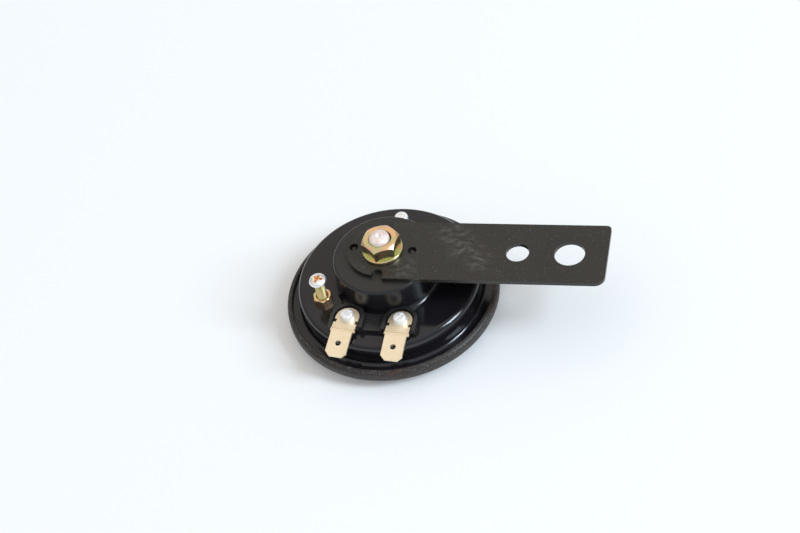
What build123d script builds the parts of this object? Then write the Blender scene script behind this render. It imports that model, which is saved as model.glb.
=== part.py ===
"""Twelve-volt disc horn: pressed steel body, contact breaker, coil, two blade terminals and a mounting strap.

The horn stands face down on its front cover. The origin is on the horn's axis in the plane of the cover's
front face, +Z runs out of the back along the mounting stud, and the strap runs along +X. Lengths are in
millimetres and angles in degrees.
"""

from build123d import *
from math import cos, radians, sin
import os

os.makedirs("parts", exist_ok=True)

# ---------------------------------------------------------------- driving dimensions

fit_gap = 0.05  # radial clearance of a shank in its hole

# front cover, rolled over the edge of the housing
cover_t = 1.0
cover_step = 2.2  # the cover's face stands this far ahead of the rim
rim_r = 31.45
rim_shelf_width = 3.5  # from the rim's edge to the sloping step
face_to_rim_run = 1.6  # radial run of the sloping step
lip_width = 1.8
rim_edge_fillet = 0.9
face_edge_fillet = 0.9
recess_inner_r = 8.0
recess_border = 4.1  # from the recess to the edge of the face
recess_depth = 0.5
recess_slope = 1.0
sound_slot_count = 8
sound_slot_width = 3.2
sound_slot_inner_gap = 2.0  # from the recess's inner slope to the slots
sound_slot_outer_gap = 1.9

# clamped stack
gasket_t = 0.5
gasket_width = 2.1
diaphragm_t = 0.4
stack_play = 0.3  # radial room between the stack and the inside of the rim
diaphragm_bead_width = 6.0
diaphragm_rim_width = 8.1  # from the bead to the diaphragm's edge
diaphragm_bead_h = 0.6
diaphragm_bead_slope = 1.2

# drawn housing
housing_t = 1.2
housing_flange_width = 3.15  # from the wall to the edge clamped in the rim
wall_draft = 0.2  # the wall leans in by this much on its way up
shoulder_fillet = 1.1
wall_base_fillet = 1.2
annulus_z = 13.1  # outer face of the flat ring round the hub
deck_width = 12.35  # from the hub to the wall, the flat ring that carries the terminals
hub_draft = 0.2  # the hub is this much wider at its foot
hub_top_z = 22.5
hub_edge_fillet = 0.6
hub_base_fillet = 1.8
pip_r = 0.9
pip_h = 0.7
pip_circle_r = 8.7
pip_turn = -4.0  # the line of the two pips is turned from the strap
pip_taper = 15.0
inside_corner = 0.5

# mounting stud with the pole core, nut and washer
stud_r = 3.0
stud_above_nut = 0.5
stud_end_chamfer = 0.6
stud_pit_r = 0.8
stud_pit_depth = 0.6
stud_clearance = 0.2
core_r = 4.5
air_gap = 0.7
stud_nut_flats = 9.8
stud_nut_h = 4.5
stud_nut_turn = 6.0
nut_land = 0.95  # the chamfer leaves this share of the flats' width
stud_washer_r = 5.9
stud_washer_t = 1.2
nut_chamfer_drop = 0.8

# mounting strap
strap_t = 1.2
strap_width = 21.4
strap_end_x = 64.8
strap_shift_y = 0.5  # the strap's centreline lies beside the stud's axis
strap_back_corner = 1.4
strap_front_corner = 3.0
small_hole_x = 39.2
small_hole_r = 3.3
large_hole_x = 54.0
large_hole_r = 4.35
pip_hole_r = 1.3
notch_r = 1.3
notch_y = 7.6

# coil
bobbin_flange_t = 0.8
bobbin_tube_t = 0.8
bobbin_hub_clearance = 0.6
winding_clearance = 0.8  # the winding stays this far inside the bobbin's flanges

# magnet plate closing the coil's end
pole_plate_t = 1.5
pole_plate_rim = 4.5  # from the hub's foot to the edge of the plate
pole_plate_bore_gap = 1.1  # round the armature
pole_plate_block_gap = 3.6  # from the terminal rivets' line to the plate's flat
pole_plate_spring_gap = 0.15  # from the contact spring to the plate's flat

# armature, tone disc and spacer
shank_r = 2.2
armature_body_r = 4.5
armature_collar_r = 6.5
armature_collar_h = 1.2
armature_lead_gap = 0.8  # from the armature's flange to the coil's ends
armature_plate_gap = 0.15  # from the armature's flange to the fixed plate
armature_flange_t = 1.0
armature_flange_drop = 1.1  # from the magnet plate to the flange
shank_head_r = 3.2
shank_head_h = 0.45
spacer_r = 4.5
spacer_t = 0.8
tone_disc_gap = 6.55  # from the disc to the edge of the cover's face
tone_disc_t = 1.0
tone_disc_edge = 0.3

# contact breaker
contact_rivet_inset = 4.8  # from the wall of the housing, along +Y
contact_rivet_shank_r = 1.1
contact_rivet_head_r = 2.1
contact_rivet_head_h = 1.3
contact_rivet_tail_r = 1.8
contact_rivet_tail_h = 1.0
bush_t = 0.6
stack_pad_r = 2.6
insulator_t = 0.8
spring_t = 0.4
contact_gap_stack = 1.2  # from the spring to the fixed plate
fixed_plate_t = 0.8
contact_r = 1.5
contact_to_screw = 9.0
contact_offset = 1.1
spring_beyond_contact = 2.4
spring_beyond_stud = 1.1
arm_outer_reach = 2.6
screw_pad_r = 2.4
push_stud_r = 1.0
push_stud_edge = 1.35  # from the stud's centre to the edge of the armature's flange
push_stud_play = 0.15
solder_tag_len = 7.0
solder_tag_width = 3.0

# adjusting screw and its lock nut
screw_inset = 6.65  # from the wall of the housing
screw_angle = -150.9
screw_r = 1.5
screw_head_r = 2.6
screw_head_h = 1.5
screw_stand = 8.1  # from the housing to the underside of the head
screw_head_fillet = 0.9
recess_taper = 12.0
recess_width = 0.75
recess_length = 3.0
recess_cut_depth = 1.2
lock_nut_flats = 5.0
lock_nut_h = 2.0
lock_nut_turn = -14.0

# terminal block
block_x = -0.75
block_inset = 8.7  # from the wall of the housing to the rivets' line
block_turn = -2.5
terminal_pitch = 15.6
block_base_t = 1.2
pocket_r = 4.0
pocket_wall_t = 1.0
pocket_wall_h = 1.2
block_front = 3.6  # from the rivets to the front edge
link_back = 3.9
spigot_r = 2.5
hub_relief_gap = 0.2
inner_plate_t = 0.8
inner_plate_end = 3.0  # beyond each rivet
inner_plate_width = 6.0
inner_plate_corner = 2.0
terminal_rivet_r = 1.2
terminal_rivet_head_r = 2.05
terminal_rivet_head_h = 1.9
terminal_rivet_tail_r = 1.9
terminal_rivet_tail_h = 0.8
rivet_dome_fillet = 0.5

# blade terminals
blade_t = 0.8
blade_width = 6.3
blade_len = 8.2
blade_drop_angle = 14.0
left_blade_turn = -5.4  # the blades are riveted a little askew on the block
right_blade_turn = -2.0
blade_tip_chamfer = 1.3
blade_hole_r = 0.83
blade_hole_from_tip = 4.1
terminal_pad_r = 3.5
terminal_bend = 4.6  # from the rivet to the bend
ear_width = 7.4
ear_len = 0.7
side_notch_depth = 0.7
side_notch_len = 1.1
side_notch_from_rivet = 1.0
bend_groove_r = 0.3

# internal leads
lead_r = 0.6
lead_bend = 1.0
lead_exit_inset = 1.45  # from the edge of the bobbin's flange
lead_hole_r = 0.9
supply_lead_angle = -112.0
contact_lead_angle = -140.0
supply_lead_z = 8.6
coil_contact_lead_z = 7.4
breaker_lead_z = 8.8
breaker_lead_gap = 3.8  # from the lead to the inside of the wall
breaker_lead_bend = 6.0
breaker_lead_steps = (-42.0, -12.0, 18.0, 48.0)

# ---------------------------------------------------------------- radii worked out from them

stack_r = rim_r - cover_t - stack_play
wall_base_r = stack_r - housing_flange_width
shoulder_r = wall_base_r - wall_draft
hub_r = shoulder_r - deck_width
hub_base_r = hub_r + hub_draft
face_rise_r = rim_r - rim_shelf_width
face_r = face_rise_r - face_to_rim_run
recess_out = face_r - recess_border
recess_outer_r = recess_out - recess_slope
recess_in = recess_inner_r + recess_slope
sound_slot_inner_r = recess_in + sound_slot_inner_gap
sound_slot_outer_r = recess_outer_r - sound_slot_outer_gap
bead_outer_r = stack_r - diaphragm_rim_width
bead_inner_r = bead_outer_r - diaphragm_bead_width
tone_disc_r = face_r - tone_disc_gap
pole_plate_r = hub_base_r + pole_plate_rim
bobbin_r = hub_r - housing_t - bobbin_hub_clearance
lead_exit_r = bobbin_r - lead_exit_inset
armature_flange_r = lead_exit_r - lead_r - armature_lead_gap
contact_rivet_radius = shoulder_r - contact_rivet_inset
screw_radius = shoulder_r - screw_inset
block_y = block_inset - shoulder_r
breaker_lead_r = shoulder_r - housing_t - breaker_lead_gap

# ---------------------------------------------------------------- heights worked out from them

shelf_z = cover_step + cover_t
cover_gasket_top = shelf_z + gasket_t
diaphragm_top = cover_gasket_top + diaphragm_t
flange_z = diaphragm_top + gasket_t
flange_top = flange_z + housing_t
rim_top = flange_top + cover_t
annulus_in = annulus_z - housing_t
hub_in = hub_top_z - housing_t
strap_top = hub_top_z + strap_t
washer_top = strap_top + stud_washer_t
stud_nut_top = washer_top + stud_nut_h
stud_top = stud_nut_top + stud_above_nut
pole_plate_z = annulus_in - pole_plate_t
winding_z = annulus_in + bobbin_flange_t
core_face = winding_z
armature_top = core_face - air_gap
armature_flange_top = pole_plate_z - armature_flange_drop
spacer_z = cover_gasket_top - spacer_t
tone_disc_z = spacer_z - tone_disc_t
screw_head_z = annulus_z + screw_stand
screw_top = screw_head_z + screw_head_h
block_top = annulus_z + block_base_t
pocket_top = block_top + pocket_wall_h
terminal_top = block_top + blade_t
inner_plate_z = annulus_in - inner_plate_t
rivet_tail_z = inner_plate_z - terminal_rivet_tail_h
spring_top = annulus_in - insulator_t
spring_z = spring_top - spring_t
plate_top = spring_z - contact_gap_stack
plate_z = plate_top - fixed_plate_t
lower_insulator_z = plate_z - insulator_t

# ---------------------------------------------------------------- shared planes and places

screw_x = screw_radius * cos(radians(screw_angle))
screw_y = screw_radius * sin(radians(screw_angle))
screw_point = Vector(screw_x, screw_y)
rivet_point = Vector(0, contact_rivet_radius)
arm_line = screw_point - rivet_point
arm_len = arm_line.length
arm_x = arm_line.normalized()
arm_y = Vector(0, 0, 1).cross(arm_x)
contact_u = arm_len - contact_to_screw
nearest_u = -rivet_point.dot(arm_x)  # where along the arm the horn's axis is nearest
axis_v = -rivet_point.dot(arm_y)  # how far beside the arm it lies
plate_inner_reach = axis_v - armature_flange_r - armature_plate_gap
push_stud_offset = axis_v - armature_flange_r + push_stud_edge
spring_inner_reach = push_stud_offset + spring_beyond_stud


def level(x, y, z, turn):
    """Level plane at a point, its x direction turned from +X by an angle."""
    return Plane(origin=(x, y, z), x_dir=(cos(radians(turn)), sin(radians(turn)), 0), z_dir=(0, 0, 1))


def arm_plane(z):
    """Plane at height z, its x running from the contact rivet to the adjusting screw."""
    return Plane(origin=(rivet_point.X, rivet_point.Y, z), x_dir=(arm_x.X, arm_x.Y, 0), z_dir=(0, 0, 1))


def block_plane(z):
    """Plane at height z, centred between the two terminal rivets, its x running along them."""
    return level(block_x, block_y, z, block_turn)


def lead_exit(angle):
    """Place where a coil end leaves the bobbin's flange."""
    return lead_exit_r * cos(radians(angle)), lead_exit_r * sin(radians(angle))


left_rivet = block_plane(0).from_local_coords(Vector(-terminal_pitch / 2, 0, 0))
right_rivet = block_plane(0).from_local_coords(Vector(terminal_pitch / 2, 0, 0))
terminal_sides = (-terminal_pitch / 2, terminal_pitch / 2)
pip_places = [
    (
        side * pip_circle_r * cos(radians(pip_turn)),
        strap_shift_y + side * pip_circle_r * sin(radians(pip_turn)),
    )
    for side in (-1, 1)
]


def save(piece, label):
    """Label one finished piece and write its STEP file."""
    piece.label = label
    export_step(piece, f"parts/{label}.step")


def turned(section, radius=0.0):
    """Solid of revolution about Z, from a closed section of (r, z) points with a fillet at each."""
    with BuildPart() as solid:
        with BuildSketch(Plane.XZ):
            with BuildLine():
                FilletPolyline(*section, radius=radius, close=True)
            make_face()
        revolve(axis=Axis.Z)
    return solid.part


def ring(outer_r, inner_r, z, height):
    """Flat ring standing on height z."""
    with BuildPart(Plane.XY.offset(z)) as solid:
        Cylinder(outer_r, height, align=(Align.CENTER, Align.CENTER, Align.MIN))
        Cylinder(inner_r, height, align=(Align.CENTER, Align.CENTER, Align.MIN), mode=Mode.SUBTRACT)
    return solid.part


def hex_nut(flats, height, bore_r, place, chamfer_drop):
    """Hexagon nut with its upper corners turned off."""
    corner_r = flats / 2 / cos(radians(30))
    with BuildPart(place) as nut:
        with BuildSketch(place):
            RegularPolygon(flats / 2, 6, major_radius=False)
            Circle(bore_r, mode=Mode.SUBTRACT)
        extrude(amount=height)
        with BuildSketch(Plane(origin=place.origin, x_dir=(1, 0, 0), z_dir=(0, -1, 0))):
            with BuildLine():
                Polyline(
                    (0, 0),
                    (corner_r, 0),
                    (corner_r, height - chamfer_drop),
                    (flats / 2 * nut_land, height),
                    (0, height),
                    close=True,
                )
            make_face()
        revolve(axis=Axis(place.origin, (0, 0, 1)), mode=Mode.INTERSECT)
    return nut.part


def lead(points, bends):
    """Round insulated lead along straight runs joined by arcs."""
    with BuildPart() as wire:
        with BuildLine() as route:
            FilletPolyline(*points, radius=bends)
        with BuildSketch(Plane(origin=route.line @ 0, z_dir=route.line % 0)):
            Circle(lead_r)
        sweep()
    return wire.part


# ---------------------------------------------------------------- front cover with the rolled rim

cover_section = [
    (0, 0),
    (recess_inner_r, 0),
    (recess_in, recess_depth),
    (recess_outer_r, recess_depth),
    (recess_out, 0),
    (face_r, 0),
    (face_rise_r, cover_step),
    (rim_r, cover_step),
    (rim_r, rim_top),
    (rim_r - lip_width, rim_top),
    (rim_r - lip_width, flange_top),
    (rim_r - cover_t, flange_top),
    (rim_r - cover_t, shelf_z),
    (face_rise_r - cover_t, shelf_z),
    (face_r - cover_t, cover_t),
    (recess_out, cover_t),
    (recess_outer_r, cover_t + recess_depth),
    (recess_in, cover_t + recess_depth),
    (recess_inner_r, cover_t),
    (0, cover_t),
]
cover_fillets = [0] * len(cover_section)
cover_fillets[5] = face_edge_fillet
cover_fillets[7] = rim_edge_fillet
cover_fillets[8] = rim_edge_fillet
slot_reach = sound_slot_outer_r - sound_slot_inner_r
with BuildPart() as front_cover:
    add(turned(cover_section, cover_fillets))
    with BuildSketch(Plane.XY):
        with PolarLocations((sound_slot_inner_r + sound_slot_outer_r) / 2, sound_slot_count):
            SlotOverall(slot_reach, sound_slot_width)
    extrude(amount=cover_t + recess_depth, mode=Mode.SUBTRACT)
save(front_cover.part, "front_cover")

# ---------------------------------------------------------------- gaskets and diaphragm

cover_gasket = ring(stack_r, stack_r - gasket_width, shelf_z, gasket_t)
save(cover_gasket, "cover_gasket")

housing_gasket = ring(stack_r, stack_r - gasket_width, diaphragm_top, gasket_t)
save(housing_gasket, "housing_gasket")

diaphragm_line = [
    (shank_r + fit_gap, cover_gasket_top),
    (bead_inner_r, cover_gasket_top),
    (bead_inner_r + diaphragm_bead_slope, cover_gasket_top + diaphragm_bead_h),
    (bead_outer_r - diaphragm_bead_slope, cover_gasket_top + diaphragm_bead_h),
    (bead_outer_r, cover_gasket_top),
    (stack_r, cover_gasket_top),
]
diaphragm = turned(diaphragm_line + [(r, z + diaphragm_t) for r, z in reversed(diaphragm_line)])
save(diaphragm, "diaphragm")

# ---------------------------------------------------------------- drawn housing

housing_section = [
    (stud_r + stud_clearance, hub_top_z),
    (hub_r, hub_top_z),
    (hub_base_r, annulus_z),
    (shoulder_r, annulus_z),
    (wall_base_r, flange_top),
    (stack_r, flange_top),
    (stack_r, flange_z),
    (wall_base_r - housing_t, flange_z),
    (shoulder_r - housing_t, annulus_in),
    (hub_base_r - housing_t, annulus_in),
    (hub_r - housing_t, hub_in),
    (stud_r + stud_clearance, hub_in),
]
housing_fillets = [
    0,
    hub_edge_fillet,
    hub_base_fillet,
    shoulder_fillet,
    wall_base_fillet,
    0,
    0,
    wall_base_fillet + housing_t,
    max(shoulder_fillet - housing_t, inside_corner),
    hub_base_fillet + housing_t,
    inside_corner,
    0,
]
with BuildPart() as housing:
    add(turned(housing_section, housing_fillets))
    with BuildSketch(Plane.XY.offset(annulus_in)):
        with Locations((screw_x, screw_y)):
            Circle(screw_r + fit_gap)
        with Locations((rivet_point.X, rivet_point.Y)):
            Circle(contact_rivet_shank_r + fit_gap)
        with Locations(left_rivet, right_rivet):
            Circle(spigot_r + fit_gap)
    extrude(amount=housing_t, mode=Mode.SUBTRACT)
    with BuildSketch(Plane.XY.offset(hub_top_z)):
        with Locations(*pip_places):
            Circle(pip_r)
    extrude(amount=pip_h, taper=pip_taper)
save(housing.part, "housing")

# ---------------------------------------------------------------- pole core with the mounting stud

pole_core = turned(
    [
        (0, core_face),
        (core_r, core_face),
        (core_r, hub_in),
        (stud_r, hub_in),
        (stud_r, stud_top - stud_end_chamfer),
        (stud_r - stud_end_chamfer, stud_top),
        (stud_pit_r, stud_top),
        (0, stud_top - stud_pit_depth),
    ]
)
save(pole_core, "pole_core")

# ---------------------------------------------------------------- coil

bobbin_bore = core_r + fit_gap
bobbin_tube_r = bobbin_bore + bobbin_tube_t
winding_top = hub_in - bobbin_flange_t
bobbin_section = [
    (bobbin_bore, annulus_in),
    (bobbin_r, annulus_in),
    (bobbin_r, winding_z),
    (bobbin_tube_r, winding_z),
    (bobbin_tube_r, winding_top),
    (bobbin_r, winding_top),
    (bobbin_r, hub_in),
    (bobbin_bore, hub_in),
]
with BuildPart() as coil_bobbin:
    add(turned(bobbin_section))
    with BuildSketch(Plane.XY.offset(annulus_in)):
        with Locations(lead_exit(supply_lead_angle), lead_exit(contact_lead_angle)):
            Circle(lead_hole_r)
    extrude(amount=bobbin_flange_t, mode=Mode.SUBTRACT)
save(coil_bobbin.part, "coil_bobbin")

coil_winding = ring(bobbin_r - winding_clearance, bobbin_tube_r, winding_z, winding_top - winding_z)
save(coil_winding, "coil_winding")

with BuildPart() as pole_plate:
    with BuildSketch(Plane.XY.offset(pole_plate_z)):
        Circle(pole_plate_r)
        with Locations((0, block_y + pole_plate_block_gap)):
            Rectangle(
                2 * pole_plate_r, pole_plate_r, align=(Align.CENTER, Align.MAX), mode=Mode.SUBTRACT
            )
        Circle(armature_body_r + pole_plate_bore_gap, mode=Mode.SUBTRACT)
        with Locations(lead_exit(supply_lead_angle), lead_exit(contact_lead_angle)):
            Circle(lead_hole_r, mode=Mode.SUBTRACT)
    extrude(amount=pole_plate_t)
    with BuildSketch(arm_plane(pole_plate_z)):
        with Locations((nearest_u, spring_inner_reach + pole_plate_spring_gap)):
            Rectangle(2 * pole_plate_r, 2 * pole_plate_r, align=(Align.CENTER, Align.MAX))
    extrude(amount=pole_plate_t, mode=Mode.SUBTRACT)
save(pole_plate.part, "pole_plate")

# ---------------------------------------------------------------- armature, tone disc and spacer

armature = turned(
    [
        (0, tone_disc_z - shank_head_h),
        (shank_head_r, tone_disc_z - shank_head_h),
        (shank_head_r, tone_disc_z),
        (shank_r, tone_disc_z),
        (shank_r, diaphragm_top),
        (armature_collar_r, diaphragm_top),
        (armature_collar_r, diaphragm_top + armature_collar_h),
        (armature_body_r, diaphragm_top + armature_collar_h),
        (armature_body_r, armature_flange_top - armature_flange_t),
        (armature_flange_r, armature_flange_top - armature_flange_t),
        (armature_flange_r, armature_flange_top),
        (armature_body_r, armature_flange_top),
        (armature_body_r, armature_top),
        (0, armature_top),
    ]
)
save(armature, "armature")

with BuildPart() as tone_disc:
    add(ring(tone_disc_r, shank_r + fit_gap, tone_disc_z, tone_disc_t))
    chamfer(tone_disc.edges().filter_by(GeomType.CIRCLE).sort_by(SortBy.RADIUS)[-2:], tone_disc_edge)
save(tone_disc.part, "tone_disc")

tone_disc_spacer = ring(spacer_r, shank_r + fit_gap, spacer_z, spacer_t)
save(tone_disc_spacer, "tone_disc_spacer")

# ---------------------------------------------------------------- contact breaker

bush_r = contact_rivet_shank_r + fit_gap + bush_t
arm_hole_r = bush_r + fit_gap
outward = -arm_outer_reach
spring_end = contact_u + spring_beyond_contact

with BuildPart() as contact_spring:
    with BuildSketch(arm_plane(spring_z)):
        Circle(stack_pad_r)
        with BuildLine():
            Polyline(
                (0, outward),
                (spring_end, outward),
                (spring_end, plate_inner_reach),
                (nearest_u + stack_pad_r + contact_r, spring_inner_reach),
                (nearest_u - stack_pad_r, spring_inner_reach),
                (stack_pad_r, stack_pad_r),
                (0, stack_pad_r),
                close=True,
            )
        make_face()
        Circle(arm_hole_r, mode=Mode.SUBTRACT)
    extrude(amount=spring_t)
    with BuildSketch(Plane.XY.offset(spring_z)):
        with Locations((bush_r, rivet_point.Y)):
            Rectangle(solder_tag_len - bush_r, solder_tag_width, align=(Align.MIN, Align.CENTER))
        with Locations((rivet_point.X, rivet_point.Y)):
            Circle(arm_hole_r, mode=Mode.SUBTRACT)
    extrude(amount=spring_t)
save(contact_spring.part, "contact_spring")

with BuildPart() as fixed_plate:
    with BuildSketch(arm_plane(plate_z)):
        Circle(stack_pad_r)
        with Locations((0, outward)):
            Rectangle(arm_len, plate_inner_reach - outward, align=Align.MIN)
        with Locations((arm_len, 0)):
            Circle(screw_pad_r)
        Circle(arm_hole_r, mode=Mode.SUBTRACT)
    extrude(amount=fixed_plate_t)
save(fixed_plate.part, "fixed_plate")

contact_h = contact_gap_stack / 2
with BuildPart() as fixed_contact:
    with BuildSketch(arm_plane(plate_top)):
        with Locations((contact_u, -contact_offset)):
            Circle(contact_r)
    extrude(amount=contact_h)
save(fixed_contact.part, "fixed_contact")

with BuildPart() as moving_contact:
    with BuildSketch(arm_plane(spring_z)):
        with Locations((contact_u, -contact_offset)):
            Circle(contact_r)
    extrude(amount=-contact_h)
save(moving_contact.part, "moving_contact")

with BuildPart() as push_stud:
    with BuildSketch(arm_plane(armature_flange_top + push_stud_play)):
        with Locations((nearest_u, push_stud_offset)):
            Circle(push_stud_r)
    extrude(amount=spring_z - armature_flange_top - push_stud_play)
save(push_stud.part, "push_stud")

with BuildPart() as contact_insulators:
    with BuildSketch(arm_plane(spring_top)):
        Circle(stack_pad_r)
    extrude(amount=insulator_t)
    with BuildSketch(arm_plane(plate_top)):
        Circle(stack_pad_r)
    extrude(amount=contact_gap_stack)
    with BuildSketch(arm_plane(plate_z)):
        Circle(bush_r)
    extrude(amount=spring_top - plate_z)
    with BuildSketch(arm_plane(lower_insulator_z)):
        Circle(stack_pad_r)
    extrude(amount=insulator_t)
    with BuildSketch(arm_plane(lower_insulator_z)):
        Circle(contact_rivet_shank_r + fit_gap)
    extrude(amount=annulus_in - lower_insulator_z, mode=Mode.SUBTRACT)
save(contact_insulators.part, "contact_insulators")

with BuildPart() as contact_rivet:
    with BuildSketch(arm_plane(annulus_z)):
        Circle(contact_rivet_head_r)
    extrude(amount=contact_rivet_head_h)
    fillet(contact_rivet.faces().sort_by(Axis.Z)[-1].edges(), rivet_dome_fillet)
    with BuildSketch(arm_plane(annulus_z)):
        Circle(contact_rivet_shank_r)
    extrude(amount=lower_insulator_z - annulus_z)
    with BuildSketch(arm_plane(lower_insulator_z)):
        Circle(contact_rivet_tail_r)
    extrude(amount=-contact_rivet_tail_h)
save(contact_rivet.part, "contact_rivet")

# ---------------------------------------------------------------- adjusting screw and lock nut

with BuildPart() as adjusting_screw:
    with BuildSketch(Plane.XY.offset(plate_top)):
        with Locations((screw_x, screw_y)):
            Circle(screw_r)
    extrude(amount=screw_head_z - plate_top)
    with BuildSketch(Plane.XY.offset(screw_head_z)):
        with Locations((screw_x, screw_y)):
            Circle(screw_head_r)
    extrude(amount=screw_head_h)
    fillet(adjusting_screw.faces().sort_by(Axis.Z)[-1].edges(), screw_head_fillet)
    with BuildSketch(Plane.XY.offset(screw_top)):
        with Locations((screw_x, screw_y)):
            Rectangle(recess_length, recess_width)
            Rectangle(recess_width, recess_length)
    extrude(amount=-recess_cut_depth, taper=recess_taper, mode=Mode.SUBTRACT)
save(adjusting_screw.part, "adjusting_screw")

lock_nut_place = level(screw_x, screw_y, annulus_z, lock_nut_turn)
lock_nut = hex_nut(lock_nut_flats, lock_nut_h, screw_r + fit_gap, lock_nut_place, nut_chamfer_drop / 2)
save(lock_nut, "lock_nut")

# ---------------------------------------------------------------- terminal block

pocket_outer_r = pocket_r + pocket_wall_t
relief_r = hub_base_r + hub_relief_gap
hub_relief = [
    (0, annulus_z),
    (relief_r + hub_base_fillet, annulus_z),
    (relief_r, annulus_z + hub_base_fillet),
    (relief_r, pocket_top),
    (0, pocket_top),
]
with BuildPart() as terminal_block:
    with BuildSketch(block_plane(annulus_z)):
        with Locations(*[(side, 0) for side in terminal_sides]):
            Circle(pocket_outer_r)
            Rectangle(2 * pocket_outer_r, block_front, align=(Align.CENTER, Align.MAX))
        with Locations((0, -block_front)):
            Rectangle(terminal_pitch, block_front + link_back, align=(Align.CENTER, Align.MIN))
        for side in terminal_sides:
            with Locations((side, -block_front)):
                Rectangle(
                    2 * pocket_outer_r, pocket_outer_r, align=(Align.CENTER, Align.MAX), mode=Mode.SUBTRACT
                )
    extrude(amount=block_base_t)
    with BuildSketch(block_plane(block_top)):
        with Locations(*[(side, 0) for side in terminal_sides]):
            Circle(pocket_outer_r)
            Rectangle(2 * pocket_outer_r, block_front, align=(Align.CENTER, Align.MAX))
        for side in terminal_sides:
            with Locations((side, 0)):
                Circle(pocket_r, mode=Mode.SUBTRACT)
                Rectangle(
                    2 * pocket_r, 2 * block_front, align=(Align.CENTER, Align.MAX), mode=Mode.SUBTRACT
                )
            with Locations((side, -block_front)):
                Rectangle(
                    2 * pocket_outer_r, pocket_outer_r, align=(Align.CENTER, Align.MAX), mode=Mode.SUBTRACT
                )
    extrude(amount=pocket_wall_h)
    with BuildSketch(block_plane(annulus_z)):
        with Locations(*[(side, 0) for side in terminal_sides]):
            Circle(spigot_r)
    extrude(amount=-housing_t)
    with BuildSketch(block_plane(annulus_in)):
        with Locations(*[(side, 0) for side in terminal_sides]):
            Circle(terminal_rivet_r + fit_gap)
    extrude(amount=block_top - annulus_in, mode=Mode.SUBTRACT)
    add(turned(hub_relief), mode=Mode.SUBTRACT)
save(terminal_block.part, "terminal_block")

with BuildPart() as terminal_insulator:
    with BuildSketch(block_plane(inner_plate_z)):
        RectangleRounded(terminal_pitch + 2 * inner_plate_end, inner_plate_width, inner_plate_corner)
        with Locations(*[(side, 0) for side in terminal_sides]):
            Circle(terminal_rivet_r + fit_gap, mode=Mode.SUBTRACT)
    extrude(amount=inner_plate_t)
save(terminal_insulator.part, "terminal_insulator")

with BuildPart() as terminal_rivets:
    with BuildSketch(block_plane(terminal_top)):
        with Locations(*[(side, 0) for side in terminal_sides]):
            Circle(terminal_rivet_head_r)
    extrude(amount=terminal_rivet_head_h)
    fillet(terminal_rivets.faces().sort_by(Axis.Z)[-2:].edges(), rivet_dome_fillet)
    with BuildSketch(block_plane(terminal_top)):
        with Locations(*[(side, 0) for side in terminal_sides]):
            Circle(terminal_rivet_r)
    extrude(amount=inner_plate_z - terminal_top)
    with BuildSketch(block_plane(inner_plate_z)):
        with Locations(*[(side, 0) for side in terminal_sides]):
            Circle(terminal_rivet_tail_r)
    extrude(amount=-terminal_rivet_tail_h)
save(terminal_rivets.part, "terminal_rivets")

# ---------------------------------------------------------------- blade terminals


def blade_terminal(rivet, blade_turn):
    """Riveted pad, bent down at two ears into a 6.3 mm blade with a latch hole."""
    drop = radians(blade_drop_angle)
    blade_run = blade_len * cos(drop)
    blade_fall = blade_len * sin(drop)
    tip = terminal_bend + blade_run
    tip_reach = blade_run + blade_t * sin(drop)
    seat = level(rivet.X, rivet.Y, block_top, block_turn + blade_turn)
    profile_plane = Plane(origin=seat.origin, x_dir=-seat.y_dir, z_dir=-seat.x_dir)
    half_pad = terminal_pad_r
    with BuildPart() as terminal:
        with BuildSketch(profile_plane):
            with BuildLine():
                Polyline(
                    (-half_pad, 0),
                    (terminal_bend, 0),
                    (tip, -blade_fall),
                    (terminal_bend + tip_reach, -blade_fall + blade_t * cos(drop)),
                    (terminal_bend + blade_t * sin(drop / 2), blade_t),
                    (-half_pad, blade_t),
                    close=True,
                )
            make_face()
        extrude(amount=ear_width, both=True)
        with BuildSketch(seat.offset(-blade_fall)) as outline:
            with Locations((0, -terminal_bend)):
                Rectangle(blade_width, tip_reach, align=(Align.CENTER, Align.MAX))
            chamfer(outline.vertices().group_by(Axis.Y)[0], blade_tip_chamfer)
            Circle(half_pad)
            Rectangle(2 * half_pad, terminal_bend, align=(Align.CENTER, Align.MAX))
            with Locations((0, -terminal_bend)):
                Rectangle(ear_width, ear_len)
            for edge in (-half_pad, half_pad):
                with Locations((edge, -side_notch_from_rivet - side_notch_len / 2)):
                    Rectangle(2 * side_notch_depth, side_notch_len, mode=Mode.SUBTRACT)
        extrude(amount=blade_fall + blade_t, mode=Mode.INTERSECT)
        with BuildSketch(seat.offset(-blade_fall)):
            with Locations((0, -terminal_bend - (blade_len - blade_hole_from_tip) * cos(drop))):
                Circle(blade_hole_r)
        extrude(amount=blade_fall + blade_t, mode=Mode.SUBTRACT)
        with BuildSketch(seat):
            Circle(terminal_rivet_r + fit_gap)
        extrude(amount=blade_t, mode=Mode.SUBTRACT)
        with BuildSketch(profile_plane):
            with Locations((terminal_bend, blade_t)):
                Circle(bend_groove_r)
        extrude(amount=ear_width, both=True, mode=Mode.SUBTRACT)
    return terminal


terminal_left = blade_terminal(left_rivet, left_blade_turn)
save(terminal_left.part, "terminal_left")
terminal_right = blade_terminal(right_rivet, right_blade_turn)
save(terminal_right.part, "terminal_right")

# ---------------------------------------------------------------- internal leads

supply_exit = lead_exit(supply_lead_angle)
supply_lead = lead(
    [
        (*supply_exit, winding_z),
        (*supply_exit, supply_lead_z),
        (left_rivet.X, left_rivet.Y, supply_lead_z),
        (left_rivet.X, left_rivet.Y, rivet_tail_z),
    ],
    lead_bend,
)
save(supply_lead, "supply_lead")

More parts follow.
